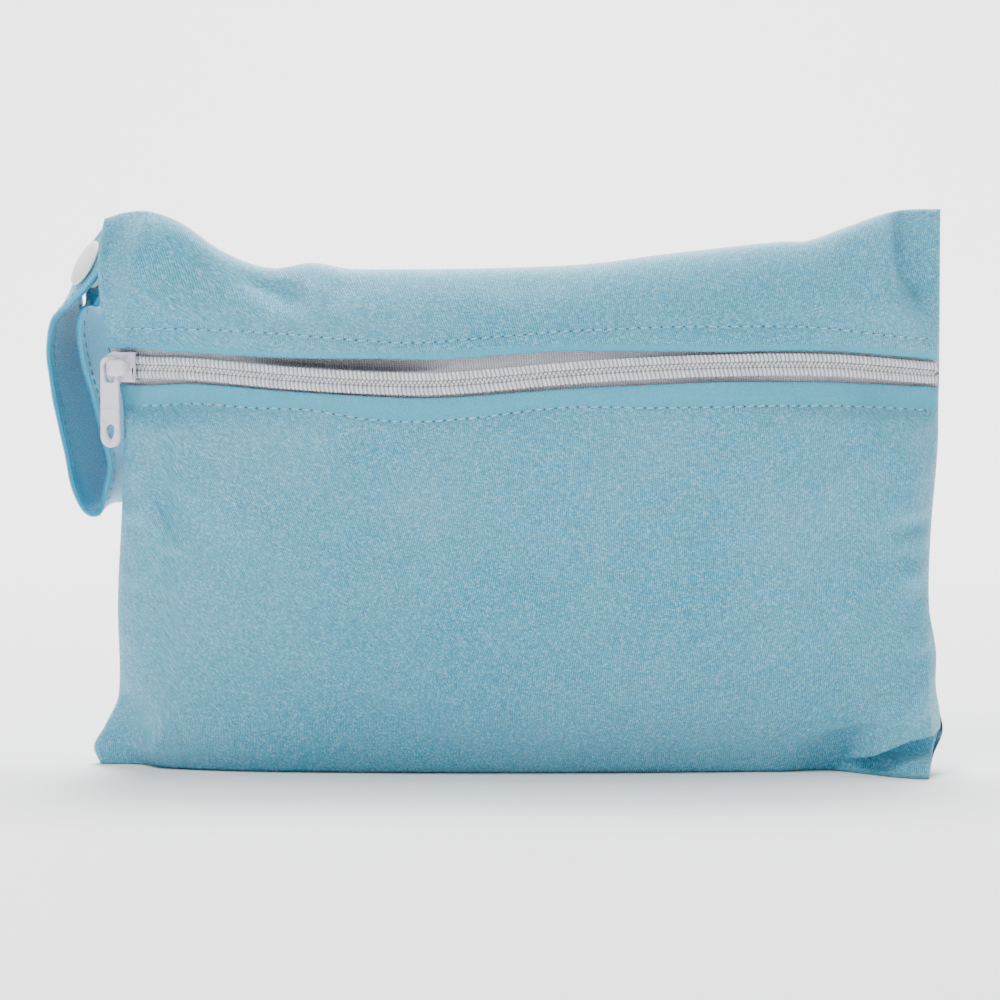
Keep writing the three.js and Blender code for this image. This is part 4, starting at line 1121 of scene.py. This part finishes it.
CLOTH_COLOURS = rgb(100, 192, 219), rgb(186, 232, 246), rgb(34, 122, 158)
STRAP_COLOURS = rgb(86, 186, 214), rgb(136, 214, 234), rgb(44, 148, 186)
CLOTH_MAT = knit("knit_cloth", *CLOTH_COLOURS, 0.5, 1.0, 0.1, rgb(78, 178, 208))
# On the strap, the last colour is painted shade over the band's inner face.
STRAP_MAT = knit("strap_knit", *STRAP_COLOURS, 0.5, 0.3, 0.06, rgb(0, 132, 172))


def thread_material():
    n = Nodes("sewing_thread")
    twist = n.noise(n.space(), 2600.0, 1)
    n.link(n.mix(n.ramp(twist, 0.35, 0.65), rgb(112, 182, 206), rgb(172, 218, 232)), "Base Color")
    n.link(n.bump(twist, 0.00006, 0.7), "Normal")
    n.set(Roughness=0.6, Sheen_Weight=0.2)
    return n.material


def grained(name, scale, dark, light, rough):
    """A dull material of two colours that change with a fine grain."""
    n = Nodes(name)
    n.link(n.mix(n.noise(n.space(), scale, 1), dark, light), "Base Color")
    n.set(Roughness=rough)
    return n.material


def tape_material():
    n = Nodes("woven_tape")
    u, v, _ = n.split(n.uv("cloth_mm"))
    ribs = n.math("SINE", n.math("MULTIPLY", u, 2 * math.pi / 0.62))
    row = n.math("MULTIPLY", v, 2 * math.pi / 0.5)
    picks = n.math("SINE", n.math("ADD", row, n.math("MULTIPLY", ribs, 1.57)))
    height = n.math("ADD", ribs, n.math("MULTIPLY", picks, 0.7))
    tone = n.mix(n.ramp(height, -1.4, 1.2), rgb(182, 178, 194), rgb(238, 234, 240))
    n.link(tone, "Base Color")
    n.link(n.bump(height, 0.00012, 0.9), "Normal")
    n.set(Roughness=0.75, Sheen_Weight=0.1)
    return n.material


def nylon_material():
    n = Nodes("nylon_coil")
    grain = n.noise(n.space(), 700.0, 2)
    rib = n.split(n.uv("zone"))[0]
    pale = n.mix(n.ramp(grain, 0.3, 0.7), rgb(204, 205, 211), rgb(236, 236, 238))
    # Painted shade: the grooves between windings and the core, at low zone values, turn grey-blue.
    n.link(n.mix(n.ramp(rib, 0.05, 0.75), rgb(128, 130, 146), pale), "Base Color")
    n.link(n.ramp(grain, -0.3, 1.8), "Roughness")
    n.set(Roughness=0.4)
    return n.material


def enamel_material():
    n = Nodes("white_enamel")
    wear = n.noise(n.space(), 420.0, 3, 0.6)
    n.link(n.mix(n.ramp(wear, 0.56, 0.7), rgb(224, 219, 232), rgb(196, 190, 208)), "Base Color")
    n.link(n.ramp(wear, -0.5, 1.9), "Roughness")
    n.link(n.bump(wear, 0.00005, 0.35), "Normal")
    n.set(Roughness=0.35, Coat_Weight=0.25, Coat_Roughness=0.2)
    return n.material


def plastic_material():
    n = Nodes("snap_plastic")
    grain = n.noise(n.space(), 260.0, 3)
    n.link(n.mix(n.ramp(grain, 0.4, 0.75), rgb(240, 238, 240), rgb(226, 224, 228)), "Base Color")
    n.link(n.ramp(grain, -0.6, 3.4), "Roughness")
    n.link(n.bump(grain, 0.00004, 0.25), "Normal")
    n.set(Roughness=0.25)
    return n.material


# Painted shade for the needle holes: two dark blues.
HOLE_SHADE = grained("needle_hole_shade", 900.0, rgb(28, 82, 112), rgb(54, 112, 140), 0.9)
STRAP_THREAD = grained("strap_thread", 1500.0, rgb(30, 112, 142), rgb(78, 152, 178), 0.7)
THREAD = thread_material()
TAPE_MAT, NYLON, ENAMEL, PLASTIC = tape_material(), nylon_material(), enamel_material(), plastic_material()

# piece, material, body, slot, CAD nodes that it stands for
PIECES = [
    (front_lower, CLOTH_MAT, "bag", "cloth", ["front_lower_panel"]),
    (front_upper, CLOTH_MAT, "bag", "cloth", ["front_upper_panel"]),
    (back, CLOTH_MAT, "bag", "cloth", ["back_panel"]),
    (stitches_lower, THREAD, "bag", None, []),
    (stitches_upper, THREAD, "bag", None, []),
    (hole_shade_lower, HOLE_SHADE, "bag", None, []),
    (hole_shade_upper, HOLE_SHADE, "bag", None, []),
    (tape_lower, TAPE_MAT, "bag", "zip_tape", ["zipper_tape_lower"]),
    (tape_upper, TAPE_MAT, "bag", "zip_tape", ["zipper_tape_upper"]),
    (coil_lower, NYLON, "bag", "zip_coil", ["zipper_coil_lower"]),
    (coil_upper, NYLON, "bag", "zip_coil", ["zipper_coil_upper"]),
    (slider_piece, ENAMEL, "bag", "slider_enamel", ["slider"]),
    (pull_piece, ENAMEL, "pull", "slider_enamel", ["pull_tab"]),
    (strap_piece, STRAP_MAT, "bag", "strap_cloth", ["strap"]),
    (strap_thread, STRAP_THREAD, "bag", None, []),
    (cap_piece, PLASTIC, "bag", "snap_plastic", ["snap_cap"]),
    (core_piece, PLASTIC, "bag", "snap_plastic", ["snap_core"]),
    (back_cap_piece, PLASTIC, "bag", "snap_plastic", ["snap_back_cap"]),
]
for piece, material, body, slot, nodes in PIECES:
    piece.data.materials.append(material)
    if nodes:
        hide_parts(*nodes)
    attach(piece, body)

# Floor, lights and camera, in metres

FLOOR_REACH = 16.0
LENS, SENSOR = 129.6, 36
AIM, DISTANCE, TILT = Vector((-0.007, 0, 0.067)), 0.9, math.radians(5)


def stage_sheet():
    """A pale floor that curves up behind the bag."""
    turns = np.linspace(0.1, math.pi / 2, 12)
    curve = [(1.0 + 0.8 * math.sin(f), 0.8 * (1 - math.cos(f))) for f in turns]
    side = [(-FLOOR_REACH, 0), (0.6, 0), (1.0, 0.0), *curve, (1.8, 5.0)]
    points = np.array([(x, y, z - 0.0002) for y, z in side for x in (-FLOOR_REACH, FLOOR_REACH)]) / MM
    made = mesh_object("studio_floor", points, grid_faces(len(side), 2))
    n = Nodes("studio_pale")
    n.set(Base_Color=(0.93, 0.93, 0.93, 1), Roughness=0.95, Specular_IOR_Level=0.0)
    made.data.materials.append(n.material)


stage_sheet()

world = bpy.data.worlds.new("studio")
bpy.context.scene.world = world
world.use_nodes = True
world.node_tree.nodes["Background"].inputs["Color"].default_value = (1, 1, 1, 1)
world.node_tree.nodes["Background"].inputs["Strength"].default_value = 0.44


def area_light(name, place, target, size, power):
    data = bpy.data.lights.new(name, "AREA")
    data.shape = "DISK"
    data.size = size
    data.energy = power
    lamp = bpy.data.objects.new(name, data)
    lamp.location = place
    lamp.rotation_mode = "QUATERNION"
    lamp.rotation_quaternion = (Vector(target) - Vector(place)).to_track_quat("-Z", "Y")
    bpy.context.scene.collection.objects.link(lamp)


area_light("key", (-0.55, -0.7, 1.35), (0, 0, 0.06), 0.6, 15)
area_light("fill", (0.9, -1.3, 0.8), (0, 0, 0.07), 1.2, 1.6)
area_light("top", (0.1, 0.45, 1.7), (0, 0.15, 0.0), 1.3, 44)
area_light("backdrop", (0.0, 0.9, 1.9), (0, 1.7, 0.3), 1.2, 75)

camera = bpy.data.cameras.new("camera")
camera.sensor_width, camera.lens = SENSOR, LENS
camera.clip_start, camera.clip_end = 0.05, 20
camera_object = bpy.data.objects.new("camera", camera)
bpy.context.scene.collection.objects.link(camera_object)
camera_object.location = AIM + Vector((0, -math.cos(TILT), math.sin(TILT))) * DISTANCE
camera_object.rotation_mode = "QUATERNION"
camera_object.rotation_quaternion = (AIM - camera_object.location).to_track_quat("-Z", "Y")
bpy.context.scene.camera = camera_object
